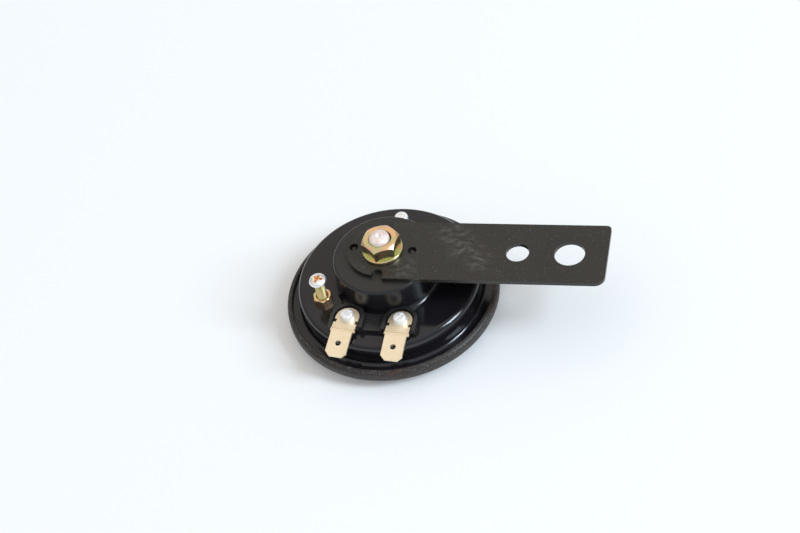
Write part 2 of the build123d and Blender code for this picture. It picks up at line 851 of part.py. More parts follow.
contact_exit = lead_exit(contact_lead_angle)
coil_contact_lead = lead(
    [
        (*contact_exit, winding_z),
        (*contact_exit, coil_contact_lead_z),
        (screw_x, screw_y, coil_contact_lead_z),
        (screw_x, screw_y, plate_z),
    ],
    lead_bend,
)
save(coil_contact_lead, "coil_contact_lead")

tag_x = solder_tag_len - lead_bend
breaker_route = [
    (breaker_lead_r * cos(radians(angle)), breaker_lead_r * sin(radians(angle)), breaker_lead_z)
    for angle in breaker_lead_steps
]
breaker_lead = lead(
    [
        (right_rivet.X, right_rivet.Y, rivet_tail_z),
        (right_rivet.X, right_rivet.Y, breaker_lead_z),
        *breaker_route,
        (tag_x, rivet_point.Y, breaker_lead_z),
        (tag_x, rivet_point.Y, spring_z),
    ],
    [lead_bend] + [breaker_lead_bend] * len(breaker_lead_steps) + [lead_bend],
)
save(breaker_lead, "breaker_lead")

# ---------------------------------------------------------------- mounting strap, washer and nut

strap_half = strap_width / 2
with BuildPart() as mounting_strap:
    with BuildSketch(Plane.XY.offset(hub_top_z)) as strap_outline:
        with Locations((0, strap_shift_y)):
            Circle(strap_half)
            Rectangle(strap_end_x, strap_width, align=(Align.MIN, Align.CENTER))
        end_corners = strap_outline.vertices().sort_by(Axis.X)[-2:].sort_by(Axis.Y)
        fillet(end_corners[0], strap_front_corner)
        fillet(end_corners[-1], strap_back_corner)
        Circle(stud_r + stud_clearance, mode=Mode.SUBTRACT)
        with Locations((small_hole_x, strap_shift_y)):
            Circle(small_hole_r, mode=Mode.SUBTRACT)
        with Locations((large_hole_x, strap_shift_y)):
            Circle(large_hole_r, mode=Mode.SUBTRACT)
        with Locations(*pip_places):
            Circle(pip_hole_r, mode=Mode.SUBTRACT)
        for notch_side in (-1, 1):
            with Locations((0, strap_shift_y + notch_side * notch_y)):
                Circle(notch_r, mode=Mode.SUBTRACT)
            with Locations((0, strap_shift_y + notch_side * strap_half)):
                Rectangle(2 * notch_r, 2 * (strap_half - notch_y), mode=Mode.SUBTRACT)
    extrude(amount=strap_t)
save(mounting_strap.part, "mounting_strap")

stud_washer = ring(stud_washer_r, stud_r + stud_clearance, strap_top, stud_washer_t)
save(stud_washer, "stud_washer")

stud_nut_place = level(0, 0, washer_top, stud_nut_turn)
stud_nut = hex_nut(stud_nut_flats, stud_nut_h, stud_r + fit_gap, stud_nut_place, nut_chamfer_drop)
save(stud_nut, "stud_nut")
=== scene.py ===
from functools import partial
from math import cos, pi, radians, sin, tan

import bmesh
import bpy
from mathutils import Matrix, Vector


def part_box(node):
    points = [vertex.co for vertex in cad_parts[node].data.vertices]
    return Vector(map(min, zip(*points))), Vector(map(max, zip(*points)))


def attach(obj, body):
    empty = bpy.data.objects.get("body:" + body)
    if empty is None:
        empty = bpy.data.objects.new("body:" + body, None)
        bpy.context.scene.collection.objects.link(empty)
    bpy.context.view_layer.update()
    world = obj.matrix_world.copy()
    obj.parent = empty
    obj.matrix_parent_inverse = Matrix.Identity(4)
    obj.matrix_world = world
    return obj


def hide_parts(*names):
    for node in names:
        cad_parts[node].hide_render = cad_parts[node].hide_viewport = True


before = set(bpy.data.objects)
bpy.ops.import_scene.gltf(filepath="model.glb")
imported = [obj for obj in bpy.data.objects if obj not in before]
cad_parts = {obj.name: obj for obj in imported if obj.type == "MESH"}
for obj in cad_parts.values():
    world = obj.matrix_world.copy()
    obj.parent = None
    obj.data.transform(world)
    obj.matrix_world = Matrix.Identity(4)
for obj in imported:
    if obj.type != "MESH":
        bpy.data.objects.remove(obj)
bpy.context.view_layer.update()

bl_info = {
    "name": "Disc horn",
    "version": (1, 0, 0),
    "blender": (4, 5, 0),
    "location": "3D View > Sidebar > Horn",
    "description": "Models and finishes the visible pieces of a disc horn around its packed parts",
    "category": "Object",
}

MM = 0.001
BODY = "root"
TURN_STEPS = 144
SMALL_TURN_STEPS = 64
WELD = 1e-6
BOX = {node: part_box(node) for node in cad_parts}
PAPER_WHITE = (0.74, 0.74, 0.74, 1.0)
PAPER_TINT = (0.97, 0.98, 1.0, 1.0)
PAPER_LIFT = 0.15
ROOM_COOL = (0.86, 0.93, 1.0, 1.0)
ROOM_WARM = (1.0, 0.93, 0.85, 1.0)
WARM_SIDE = (-0.5, 0.6, 0.6)
WINDOW_PLACE = (2.6, -0.35, 2.0)
WINDOW_SIZE = (0.9, 1.6)
WINDOW_POWER = 95.0
WINDOW_TINT = (0.74, 0.88, 1.0)
CAMERA_RIGHT = (0.97119, 0.17118, -0.16581)
CAMERA_BACK = (0.23727, -0.62929, 0.74006)
CAMERA_EYE = (140.78, -362.52, 443.39)  # in mm
CAMERA_LENS = 90
SLOTS = 8
BEND_CREASES = 4
BEND_START, BEND_STEP = 0.36, 0.12  # in mm past the fold
CRIMP_TURN = 0.78


# ---------------------------------------------------------------- colours and sizes a user would change


def linear(hex_value):
    """An sRGB hex colour as the linear red, green, blue and alpha that Blender works in."""
    parts = [int(hex_value[i : i + 2], 16) / 255 for i in (0, 2, 4)]
    return (*(c / 12.92 if c <= 0.04045 else ((c + 0.055) / 1.055) ** 2.4 for c in parts), 1.0)


def size(name, description, millimetres):
    """A length a user can change, given in millimetres."""
    return bpy.props.FloatProperty(
        name=name, description=description, default=millimetres * MM, unit="LENGTH", precision=5
    )


def turn(name, description, degrees):
    """An angle a user can change, given in degrees."""
    return bpy.props.FloatProperty(
        name=name, description=description, default=radians(degrees), subtype="ANGLE"
    )


def colour(name, description, hex_value):
    """A colour a user can change, given as sRGB hex."""
    return bpy.props.FloatVectorProperty(
        name=name,
        description=description,
        default=linear(hex_value),
        size=4,
        subtype="COLOR",
        min=0,
        max=1,
    )


class HornBodySizes(bpy.types.PropertyGroup):
    """Pressed cover and drawn housing"""

    face_radius: size("Face radius", "Radius where the cover's face turns up to the rim", 26.35)
    face_step: size("Face step", "How far the cover's face stands ahead of the rim", 2.2)
    face_slope: size("Face slope", "Radial run of the slope between the face and the rim", 1.6)
    sheet: size("Cover sheet", "Thickness of the cover's sheet", 1.0)
    lip_width: size("Rim lip", "Width of the lip rolled over the housing's edge", 1.6)
    lip_round: size("Lip rounding", "Radius of the rim's upper outer edge", 1.35)
    rim_round: size("Rim rounding", "Radius of the rim's lower outer edge", 2.2)
    recess_inner: size("Recess inner radius", "Radius where the face's recess starts", 8.0)
    recess_outer: size("Recess outer radius", "Radius where the face's recess ends", 22.25)
    recess_depth: size("Recess depth", "Depth of the face's recess", 0.5)
    recess_slope: size("Recess slope", "Radial run of the recess's two slopes", 1.0)
    slot_inner: size("Slot inner radius", "Radius where a sound slot starts", 11.0)
    slot_outer: size("Slot outer radius", "Radius where a sound slot ends", 19.35)
    slot_width: size("Slot width", "Width of a sound slot", 3.2)
    hub_radius: size("Hub radius", "Radius of the raised hub at its top", 14.7)
    hub_base_radius: size("Hub base radius", "Radius of the hub where it leaves the flat ring", 14.9)
    hub_edge: size("Hub edge", "Rounding of the hub's top edge", 0.8)
    hub_foot: size("Hub foot", "Hollow radius at the hub's foot", 1.8)
    shelf_height: size("Flat ring height", "Height of the flat ring round the hub", 13.1)
    shoulder_radius: size("Shoulder radius", "Radius of the shoulder at the flat ring's edge", 26.9)
    shoulder_round: size("Shoulder rounding", "Rounding of the shoulder", 1.7)
    wall_foot_radius: size("Wall foot radius", "Radius of the outer wall at the rim", 27.0)
    wall_foot: size("Wall foot", "Hollow radius at the wall's foot", 1.2)
    housing_sheet: size("Housing sheet", "Thickness of the housing's sheet", 1.2)


class HornStrapSizes(bpy.types.PropertyGroup):
    """Mounting strap"""

    shift: size("Sideways shift", "Distance of the strap's centreline from the stud's axis", 0.5)
    small_hole_place: size("Small hole place", "Distance of the small hole from the stud", 39.2)
    small_hole: size("Small hole radius", "Radius of the small hole", 3.3)
    large_hole_place: size("Large hole place", "Distance of the large hole from the stud", 54.0)
    large_hole: size("Large hole radius", "Radius of the large hole", 4.35)
    front_corner: size("Front corner", "Rounding of the end's front corner", 3.0)
    back_corner: size("Back corner", "Rounding of the end's back corner", 1.4)
    notch: size("Notch radius", "Half the width of the two side notches", 1.6)
    notch_place: size("Notch place", "Distance of a notch's round end from the centreline", 9.0)
    pip: size("Pip radius", "Radius of the hub's two pips", 0.9)
    pip_hole: size("Pip hole radius", "Radius of the two holes that drop over the hub's pips", 1.3)
    pip_circle: size("Pip distance", "Distance of the pips from the strap's middle", 8.7)
    pip_turn: turn("Pip turn", "Angle between the line of the pips and the strap", -2.5)
    pip_shift: size("Pip shift", "Distance of the middle of the pips from the strap's centreline", 0.4)
    end_inset: size("End inset", "How much smaller the round end is than half the strap", 0.7)
    edge: size("Edge rounding", "Rounding left by the press on the strap's edges", 0.14)


class HornFastenerSizes(bpy.types.PropertyGroup):
    """Stud, nuts, screw and rivets"""

    stud_radius: size("Stud radius", "Radius of the mounting stud", 3.0)
    stud_end: size("Stud end", "How far the stud's domed end stands past its solid", 0.5)
    nut_flats: size("Nut across flats", "Width of the stud's nut across its flats", 9.8)
    nut_chamfer: size("Nut chamfer", "Height by which the nut's corners are turned off", 0.8)
    nut_turn: turn("Nut turn", "How far the stud's nut is turned", 21.0)
    screw_radius: size("Screw radius", "Radius of the adjusting screw", 1.5)
    screw_head_height: size("Screw head height", "Height of the adjusting screw's head", 1.5)
    screw_pitch: size("Screw pitch", "Pitch of the adjusting screw's thread", 0.5)
    lock_nut_flats: size("Lock nut across flats", "Width of the lock nut across its flats", 5.0)
    lock_nut_chamfer: size("Lock nut chamfer", "Height by which its corners are turned off", 0.4)
    lock_nut_turn: turn("Lock nut turn", "How far the lock nut is turned", -14.0)
    rivet_head: size("Rivet head radius", "Radius of the terminal rivets' heads", 2.05)
    rivet_shank: size("Rivet shank radius", "Radius of the terminal rivets' shanks", 1.2)
    contact_head: size("Contact rivet head", "Radius of the contact rivet's head", 2.1)
    contact_shank: size("Contact rivet shank", "Radius of the contact rivet's shank", 1.1)


class HornTerminalSizes(bpy.types.PropertyGroup):
    """Terminal block and its two blades"""

    block_x: size("Block place X", "Middle of the terminal block along the strap", -0.75)
    block_y: size("Block place Y", "Middle of the terminal block across the strap", -18.1)
    block_turn: turn("Block turn", "How far the terminal block is turned", -2.5)
    pitch: size("Terminal pitch", "Distance between the two terminals", 15.6)
    pocket: size("Pocket radius", "Inner radius of a pocket's round wall", 4.0)
    wall: size("Wall thickness", "Thickness of a pocket's wall", 1.0)
    wall_height: size("Wall height", "Height of a pocket's wall above its floor", 1.2)
    floor: size("Block floor", "Thickness of the block's floor", 1.2)
    front: size("Block front", "Distance from a rivet to the block's front edge", 3.6)
    link_back: size("Link back", "Distance from the rivets' line to the back of the link", 3.9)
    relief_gap: size("Relief gap", "Gap between the block and the hub", 0.2)
    blade_width: size("Blade width", "Width of a blade", 6.3)
    blade_sheet: size("Blade thickness", "Thickness of a blade", 0.8)
    blade_length: size("Blade length", "Length of a blade from its bend to its tip", 8.2)
    blade_drop: turn("Blade drop", "Angle by which a blade is bent down", 14.0)
    left_turn: turn("Left blade turn", "How far the left blade is riveted askew", -5.4)
    right_turn: turn("Right blade turn", "How far the right blade is riveted askew", -2.0)
    bend_place: size("Bend place", "Distance from a rivet to the bend", 4.6)
    pad: size("Pad radius", "Radius of a terminal's riveted pad", 3.5)
    ear_width: size("Ear width", "Width across the two ears at the bend", 7.4)
    tip_chamfer: size("Tip chamfer", "Chamfer at the blade's tip", 1.3)
    latch_hole: size("Latch hole radius", "Radius of the hole in a blade", 0.83)
    latch_place: size("Latch hole place", "Distance of the latch hole from the tip", 4.1)


class HornFinishes(bpy.types.PropertyGroup):
    """Finishes"""

    enamel: colour("Black enamel", "Stoved gloss enamel on the housing", "18161A")
    hub_black: colour("Hub black", "Rubbed enamel on top of the hub", "22211F")
    strap_black: colour("Strap black", "Satin paint on the strap", "28241F")
    rim_black: colour("Rim black", "Matte paint on the cover and its rim", "342F2D")
    rust: colour("Rust", "Light rust tint on the rim", "5A3A2E")
    scuff: colour("Scuffs", "Pale rubbed marks in the paint", "A8A49C")
    zinc_gold: colour("Yellow zinc", "Gold tone of yellow chromated zinc", "FFD2A2")
    zinc_green: colour("Green zinc", "Green tone of yellow chromated zinc", "D6D59C")
    zinc_pink: colour("Pink zinc", "Pink tone of yellow chromated zinc", "F0BCAA")
    zinc_brown: colour("Brown zinc", "Brown tone where the chromate lies thick", "F6CFA0")
    bright_zinc: colour("Bright zinc", "Clear zinc on rivets, stud and screw head", "FBFBFA")
    zinc_bloom: colour("Zinc bloom", "Duller patches of the rivets' zinc", "E6E4E0")
    nickel: colour("Nickelled brass", "Warm plated brass of the blades", "FFEFD2")
    nickel_stain: colour("Nickel stain", "Yellower patches of the blades' plate", "F4E2BE")
    block_black: colour("Block plastic", "Moulded plastic of the terminal block", "201F20")
    block_bloom: colour("Block bloom", "Paler patches of the block's plastic", "222224")


SCENE_GROUPS = {
    "horn_body": HornBodySizes,
    "horn_strap": HornStrapSizes,
    "horn_fasteners": HornFastenerSizes,
    "horn_terminals": HornTerminalSizes,
    "horn_finishes": HornFinishes,
}


# ---------------------------------------------------------------- nodes and materials


def set_inputs(node, inputs):
    """Give each named input of a node its value, or link it to the output that feeds it."""
    for key, value in inputs.items():
        if isinstance(value, bpy.types.NodeSocket):
            node.id_data.links.new(value, node.inputs[key])
        else:
            node.inputs[key].default_value = value


def add_node(tree, kind, inputs, output=0, **settings):
    """Add one node with its settings, values and links, and return one of its outputs."""
    node = tree.nodes.new(kind)
    for key, value in settings.items():
        setattr(node, key, value)
    set_inputs(node, inputs)
    return node.outputs[output]


def per(millimetres):
    """Texture scale whose features are that many millimetres apart."""
    return 1 / (millimetres * MM)


def start_material(name):
    """A new material, its Principled shader, a call that adds nodes to it, and object coordinates."""
    material = bpy.data.materials.new(name)
    material.use_nodes = True
    node = partial(add_node, material.node_tree)
    place = node("ShaderNodeTexCoord", {}, "Object")
    return material, material.node_tree.nodes["Principled BSDF"], node, place


NOISE = "ShaderNodeTexNoise"
RANGE = "ShaderNodeMapRange"
MIX = "ShaderNodeMix"
MATHS = "ShaderNodeMath"
VECTORS = "ShaderNodeVectorMath"
SHARE, FIRST, SECOND = 0, 6, 7  # the sockets of a colour mix
COLOURS = {"output": 2, "data_type": "RGBA"}  # and what makes a mix one of colours
START, END = 2, 3  # the sockets of a mix of plain numbers
SPREAD = {"From Min": 0.3, "From Max": 0.7}  # where most of a noise's values lie
FALLING = {"To Min": 1.0, "To Max": 0.0}  # a range that falls as its value rises


def finish(shader, node, base, noise, roughness, grain, relief, **inputs):
    """Set a shader's colour, a roughness that follows a noise, and a relief with its depth in mm."""
    smooth, coarse = roughness
    depth, strength = relief
    set_inputs(
        shader,
        {
            "Base Color": base,
            "Roughness": node(RANGE, {"Value": noise, **SPREAD, "To Min": smooth, "To Max": coarse}),
            "Normal": node("ShaderNodeBump", {"Height": grain, "Distance": depth * MM, "Strength": strength}),
            **inputs,
        },
    )


def stoved_black_enamel(finishes):
    """Stoved black enamel on drawn steel: wet-looking gloss with faint orange-peel and a little dust.

    The hub's wall is less glossy. Its top is rubbed dull where the strap is clamped, with turning rings.
    """
    material, shader, node, place = start_material("stoved_black_enamel")
    top = BOX["mounting_strap"][0].z
    height = node("ShaderNodeSeparateXYZ", {"Vector": place}, "Z")
    on_hub = node(RANGE, {"Value": height, "From Min": top - 0.3 * MM, "From Max": top - 0.1 * MM})
    flat = node(VECTORS, {0: place, 1: (1.0, 1.0, 0.0)}, operation="MULTIPLY")
    away = node(VECTORS, {0: flat}, "Value", operation="LENGTH")
    edge = bpy.context.scene.horn_body.hub_radius
    near, far = 0.6 * MM, 0.9 * MM
    inward = node(RANGE, {"Value": away, "From Min": edge - far, "From Max": edge - near, **FALLING})
    on_hub = node(MATHS, {0: on_hub, 1: inward}, operation="MULTIPLY")
    dust = node(NOISE, {"Vector": place, "Scale": per(0.35), "Detail": 2.0})
    dust = node(RANGE, {"Value": dust, "From Min": 0.70, "From Max": 0.78, "To Max": 0.10})
    gloss = node(MIX, {SHARE: dust, FIRST: finishes.enamel, SECOND: finishes.scuff}, **COLOURS)
    rings = node(
        "ShaderNodeTexWave",
        {"Vector": place, "Scale": 2 * pi / 20 * per(1.1), "Distortion": 0.6, "Detail": 1.0},
        "Fac",
        wave_type="RINGS",
        rings_direction="Z",
    )
    rings = node(RANGE, {"Value": rings, "To Max": 0.25})
    rubbed = node(MIX, {SHARE: rings, FIRST: finishes.hub_black, SECOND: finishes.strap_black}, **COLOURS)
    smudge = node(NOISE, {"Vector": place, "Scale": per(9.0), "Detail": 4.0, "Roughness": 0.6})
    shine = node(RANGE, {"Value": smudge, "From Min": 0.35, "From Max": 0.75, "To Min": 0.07, "To Max": 0.17})
    on_wall = node(RANGE, {"Value": away, "From Min": edge + far, "From Max": edge + near})
    shine = node(MIX, {SHARE: on_wall, START: shine, END: 0.24})
    dull = node(RANGE, {"Value": smudge, **SPREAD, "To Min": 0.34, "To Max": 0.46})
    peel = node(NOISE, {"Vector": place, "Scale": per(1.6), "Detail": 2.0})
    set_inputs(
        shader,
        {
            "Base Color": node(MIX, {SHARE: on_hub, FIRST: gloss, SECOND: rubbed}, **COLOURS),
            "Roughness": node(MIX, {SHARE: on_hub, START: shine, END: dull}),
            "Normal": node("ShaderNodeBump", {"Height": peel, "Distance": 0.004 * MM, "Strength": 0.5}),
            "IOR": 1.5,
        },
    )
    return material


def satin_strap_paint(finishes):
    """Satin black paint on a steel strip, rubbed pale in soft streaky patches by handling."""
    material, shader, node, place = start_material("satin_strap_paint")
    level = BOX["mounting_strap"][1].z
    rubbed = 0.0
    for x, y, reach in ((20.0, 7.0, 6.0), (24.0, 1.5, 6.5), (29.0, -3.0, 5.0), (7.0, -6.0, 5.0)):
        away = node(VECTORS, {0: place, 1: (x * MM, y * MM, level)}, "Value", operation="DISTANCE")
        near = node(RANGE, {"Value": away, "From Max": reach * MM, **FALLING})
        rubbed = node(MATHS, {0: rubbed, 1: near}, operation="MAXIMUM")
    drawn = node(
        "ShaderNodeMapping",
        {"Vector": place, "Rotation": (0, 0, radians(24)), "Scale": (0.6, 1.0, 1.0)},
    )
    streaks = node(NOISE, {"Vector": drawn, "Scale": per(1.6), "Detail": 6.0, "Roughness": 0.7})
    streaks = node(RANGE, {"Value": streaks, "From Min": 0.46, "From Max": 0.72, "To Max": 0.34})
    haze = node(MATHS, {0: streaks, 1: rubbed}, operation="MULTIPLY")
    flecks = node(NOISE, {"Vector": place, "Scale": per(0.5), "Detail": 2.0})
    flecks = node(RANGE, {"Value": flecks, "From Min": 0.64, "From Max": 0.74, "To Max": 0.16})
    pale = node(MATHS, {0: haze, 1: flecks}, operation="MAXIMUM")
    clouds = node(NOISE, {"Vector": place, "Scale": per(11.0), "Detail": 4.0, "Roughness": 0.6})
    share = node(RANGE, {"Value": clouds, **SPREAD})
    base = node(MIX, {SHARE: share, FIRST: finishes.strap_black, SECOND: finishes.hub_black}, **COLOURS)
    base = node(MIX, {SHARE: pale, FIRST: base, SECOND: finishes.scuff}, **COLOURS)
    grain = node(NOISE, {"Vector": place, "Scale": per(0.45), "Detail": 3.0})
    finish(shader, node, base, clouds, (0.22, 0.32), grain, (0.006, 0.6), IOR=1.5)
    return material


def matte_rim_paint(finishes):
    """Thin satin black paint on the pressed cover, speckled pale by wear, with a trace of rust."""
    material, shader, node, place = start_material("matte_rim_paint")
    rusty = 0.0
    for x, y, z, reach in ((31.0, -4.0, 5.0, 9.0), (8.0, -30.0, 4.0, 8.0)):
        away = node(VECTORS, {0: place, 1: (x * MM, y * MM, z * MM)}, "Value", operation="DISTANCE")
        near = node(RANGE, {"Value": away, "From Max": reach * MM, "To Min": 0.7, "To Max": 0.0})
        rusty = node(MATHS, {0: rusty, 1: near}, operation="MAXIMUM")
    clouds = node(NOISE, {"Vector": place, "Scale": per(2.5), "Detail": 5.0, "Roughness": 0.65})
    share = node(RANGE, {"Value": clouds, "From Min": 0.45, "From Max": 0.65})
    tint = node(MATHS, {0: rusty, 1: share}, operation="MULTIPLY")
    specks = node(NOISE, {"Vector": place, "Scale": per(0.5), "Detail": 3.0, "Roughness": 0.6})
    specks = node(RANGE, {"Value": specks, "From Min": 0.54, "From Max": 0.72, "To Max": 0.30})
    base = node(MIX, {SHARE: specks, FIRST: finishes.rim_black, SECOND: finishes.scuff}, **COLOURS)
    base = node(MIX, {SHARE: tint, FIRST: base, SECOND: finishes.rust}, **COLOURS)
    grain = node(NOISE, {"Vector": place, "Scale": per(0.6), "Detail": 4.0, "Roughness": 0.6})
    finish(shader, node, base, clouds, (0.38, 0.52), grain, (0.010, 0.6), IOR=1.38)
    return material


def yellow_zinc(finishes):
    """Yellow chromated zinc on steel: a thin film that drifts slowly between gold, green and pink."""
    material, shader, node, place = start_material("yellow_zinc")
    drift = node(NOISE, {"Vector": place, "Scale": per(4.5), "Detail": 2.0})
    share = node(RANGE, {"Value": drift, "From Min": 0.42, "From Max": 0.56})
    film = node(MIX, {SHARE: share, FIRST: finishes.zinc_gold, SECOND: finishes.zinc_green}, **COLOURS)
    blush = node(NOISE, {"Vector": place, "Scale": per(3.0), "Detail": 2.0})
    share = node(RANGE, {"Value": blush, "From Min": 0.52, "From Max": 0.70})
    film = node(MIX, {SHARE: share, FIRST: film, SECOND: finishes.zinc_pink}, **COLOURS)
    grain = node(NOISE, {"Vector": place, "Scale": per(0.35), "Detail": 3.0})
    finish(shader, node, film, blush, (0.17, 0.26), grain, (0.006, 0.5), Metallic=1.0)
    return material


def bright_zinc(name, finishes, tint):
    """Clear zinc plate on rivets and the stud's end: nearly white, softly frosted, with a faint tint."""
    material, shader, node, place = start_material(name)
    clouds = node(NOISE, {"Vector": place, "Scale": per(1.4), "Detail": 3.0, "Roughness": 0.6})
    share = node(RANGE, {"Value": clouds, "From Min": 0.4, "From Max": 0.8})
    base = node(MIX, {SHARE: share, FIRST: finishes.bright_zinc, SECOND: tint}, **COLOURS)
    grain = node(NOISE, {"Vector": place, "Scale": per(0.3), "Detail": 2.0})
    finish(shader, node, base, clouds, (0.38, 0.5), grain, (0.008, 0.4), Metallic=0.6)
    return material


def adjusting_screw_zinc(finishes):
    """Zinc on the adjusting screw: nearly white on the head, brown gold in the recess, green gold below."""
    material, shader, node, place = start_material("adjusting_screw_zinc")
    low, high = BOX["adjusting_screw"]
    under = high.z - bpy.context.scene.horn_fasteners.screw_head_height
    height = node("ShaderNodeSeparateXYZ", {"Vector": place}, "Z")
    flat = node(VECTORS, {0: place, 1: (1.0, 1.0, 0.0)}, operation="MULTIPLY")
    middle = ((low.x + high.x) / 2, (low.y + high.y) / 2, 0)
    off = node(VECTORS, {0: flat, 1: middle}, "Value", operation="DISTANCE")
    inside = node(RANGE, {"Value": off, "From Min": 1.2 * MM, "From Max": 1.7 * MM, **FALLING})
    bottom, brim = high.z - 0.4 * MM, high.z - 0.15 * MM
    deep = node(RANGE, {"Value": height, "From Min": bottom, "From Max": brim, **FALLING})
    recess = node(MATHS, {0: inside, 1: deep}, operation="MULTIPLY")
    shank = node(RANGE, {"Value": height, "From Min": under - 0.1 * MM, "From Max": under, **FALLING})
    drift = node(NOISE, {"Vector": place, "Scale": per(3.0), "Detail": 1.0})
    share = node(RANGE, {"Value": drift, "From Min": 0.40, "From Max": 0.60, "To Min": 0.4})
    film = node(MIX, {SHARE: share, FIRST: finishes.zinc_gold, SECOND: finishes.zinc_green}, **COLOURS)
    head = node(MIX, {SHARE: recess, FIRST: finishes.bright_zinc, SECOND: finishes.zinc_brown}, **COLOURS)
    base = node(MIX, {SHARE: shank, FIRST: head, SECOND: film}, **COLOURS)
    grain = node(NOISE, {"Vector": place, "Scale": per(0.3), "Detail": 2.0})
    finish(shader, node, base, drift, (0.28, 0.4), grain, (0.006, 0.5), Metallic=1.0)
    return material


def nickelled_brass(finishes):
    """Stamped brass blades with a thin nickel plate: warm, pale and satin, with fine rolling lines."""
    material, shader, node, place = start_material("nickelled_brass")
    rolled = node("ShaderNodeMapping", {"Vector": place, "Scale": (1.0, 0.12, 1.0)})
    lines = node(NOISE, {"Vector": rolled, "Scale": per(0.25), "Detail": 3.0, "Roughness": 0.6})
    stain = node(NOISE, {"Vector": place, "Scale": per(2.4), "Detail": 4.0, "Roughness": 0.6})
    share = node(RANGE, {"Value": stain, "From Min": 0.45, "From Max": 0.80})
    base = node(MIX, {SHARE: share, FIRST: finishes.nickel, SECOND: finishes.nickel_stain}, **COLOURS)
    finish(shader, node, base, lines, (0.34, 0.46), lines, (0.004, 0.5), Metallic=1.0)
    return material


def moulded_black_plastic(finishes):
    """Moulded phenolic of the terminal block: dark and softly shiny, faintly grained."""
    material, shader, node, place = start_material("moulded_black_plastic")
    clouds = node(NOISE, {"Vector": place, "Scale": per(2.0), "Detail": 4.0, "Roughness": 0.6})
    share = node(RANGE, {"Value": clouds, "From Min": 0.4, "From Max": 0.7})
    base = node(MIX, {SHARE: share, FIRST: finishes.block_black, SECOND: finishes.block_bloom}, **COLOURS)
    grain = node(NOISE, {"Vector": place, "Scale": per(0.25), "Detail": 2.0})
    finish(shader, node, base, clouds, (0.20, 0.32), grain, (0.004, 0.5), IOR=1.52)
    return material


# inner finish: two tones, spot spacing in mm, metal or not, roughness range, relief in mm, its nodes
INNER_FINISHES = {
    # rolled spring steel: bright, smooth, drifting slowly
    "rolled_spring_steel": (("CDCDD0", "BFC0C4"), 3.0, 1.0, (0.24, 0.36), 0.003, ("diaphragm", "tone_disc")),
    # turned and stamped mild steel, lightly oiled: grey with a fine grain
    "oiled_mild_steel": (
        ("BCBCBA", "A8A8A6"), 1.2, 1.0, (0.3, 0.45), 0.006, ("armature", "tone_disc_spacer", "pole_plate"),
    ),
    # phosphor bronze strip: warm and even
    "phosphor_bronze": (
        ("DCBC95", "CFAC84"), 2.2, 1.0, (0.28, 0.4), 0.004, ("contact_spring", "fixed_plate"),
    ),
    # tungsten contact: dark grey, matte from arcing
    "tungsten_contact": (
        ("ADADB0", "98989C"), 0.5, 1.0, (0.4, 0.55), 0.005, ("fixed_contact", "moving_contact"),
    ),
    # pressed gasket card: tan, fibrous and dull
    "gasket_card": (("CEC4AD", "B9AE95"), 0.6, 0.0, (0.75, 0.9), 0.03, ("cover_gasket", "housing_gasket")),
    # natural nylon: milky and waxy
    "moulded_nylon": (("E1DFD5", "D6D3C7"), 4.0, 0.0, (0.35, 0.5), 0.004, ("coil_bobbin",)),
    # enamelled copper wire: orange under a clear varnish
    "enamelled_copper": (("CB8E61", "B97A4E"), 0.5, 1.0, (0.25, 0.38), 0.02, ("coil_winding",)),
    # vulcanised fibre: red brown, hard, dull
    "vulcanised_fibre": (
        ("B37C59", "9E6A4A"), 0.8, 0.0, (0.5, 0.65), 0.008,
        ("contact_insulators", "terminal_insulator", "push_stud"),
    ),
    # varnished sleeve on the leads: black, soft, slightly shiny
    "lead_sleeve": (
        ("3F3F3F", "333333"), 1.0, 0.0, (0.4, 0.55), 0.01,
        ("supply_lead", "coil_contact_lead", "breaker_lead"),
    ),
}


def inner_finish(name, tones, spacing, metal, roughness, depth):
    """A finish of an inner piece: two tones drifting at a real spacing, and a fine relief."""
    material, shader, node, place = start_material(name)
    spots = node(NOISE, {"Vector": place, "Scale": per(spacing), "Detail": 4.0, "Roughness": 0.6})
    share = node(RANGE, {"Value": spots, "From Min": 0.35, "From Max": 0.65})
    base = node(MIX, {SHARE: share, FIRST: linear(tones[0]), SECOND: linear(tones[1])}, **COLOURS)
    grain = node(NOISE, {"Vector": place, "Scale": per(spacing / 3), "Detail": 3.0})
    finish(shader, node, base, spots, roughness, grain, (depth, 0.6), Metallic=metal)
    return material


# ---------------------------------------------------------------- modelling steps


def deselect():
    """Leave edit mode and select nothing."""
    if bpy.context.object and bpy.context.object.mode != "OBJECT":
        bpy.ops.object.mode_set(mode="OBJECT")
    bpy.ops.object.select_all(action="DESELECT")


def pick(piece):
    """Select one piece and nothing else."""
    deselect()
    piece.select_set(True)
    bpy.context.view_layer.objects.active = piece
    return piece


def edit(piece):
    """Open one piece's mesh for editing."""
    pick(piece)
    bpy.ops.object.mode_set(mode="EDIT")


def close():
    """Leave a mesh and go back to the pieces."""
    bpy.ops.object.mode_set(mode="OBJECT")


def select_points(piece, test):
    """In edit mode, select the points whose place passes a test, with the edges between them."""
    bpy.ops.mesh.select_all(action="DESELECT")
    bpy.ops.mesh.select_mode(type="VERT")
    mesh = bmesh.from_edit_mesh(piece.data)
    for point in mesh.verts:
        point.select = test(piece.matrix_world @ point.co)
    mesh.select_flush(True)
    bmesh.update_edit_mesh(piece.data)


def apply_place(piece):
    """Put the piece's place into its mesh."""
    pick(piece)
    bpy.ops.object.transform_apply(location=True, rotation=True, scale=True)
    return piece


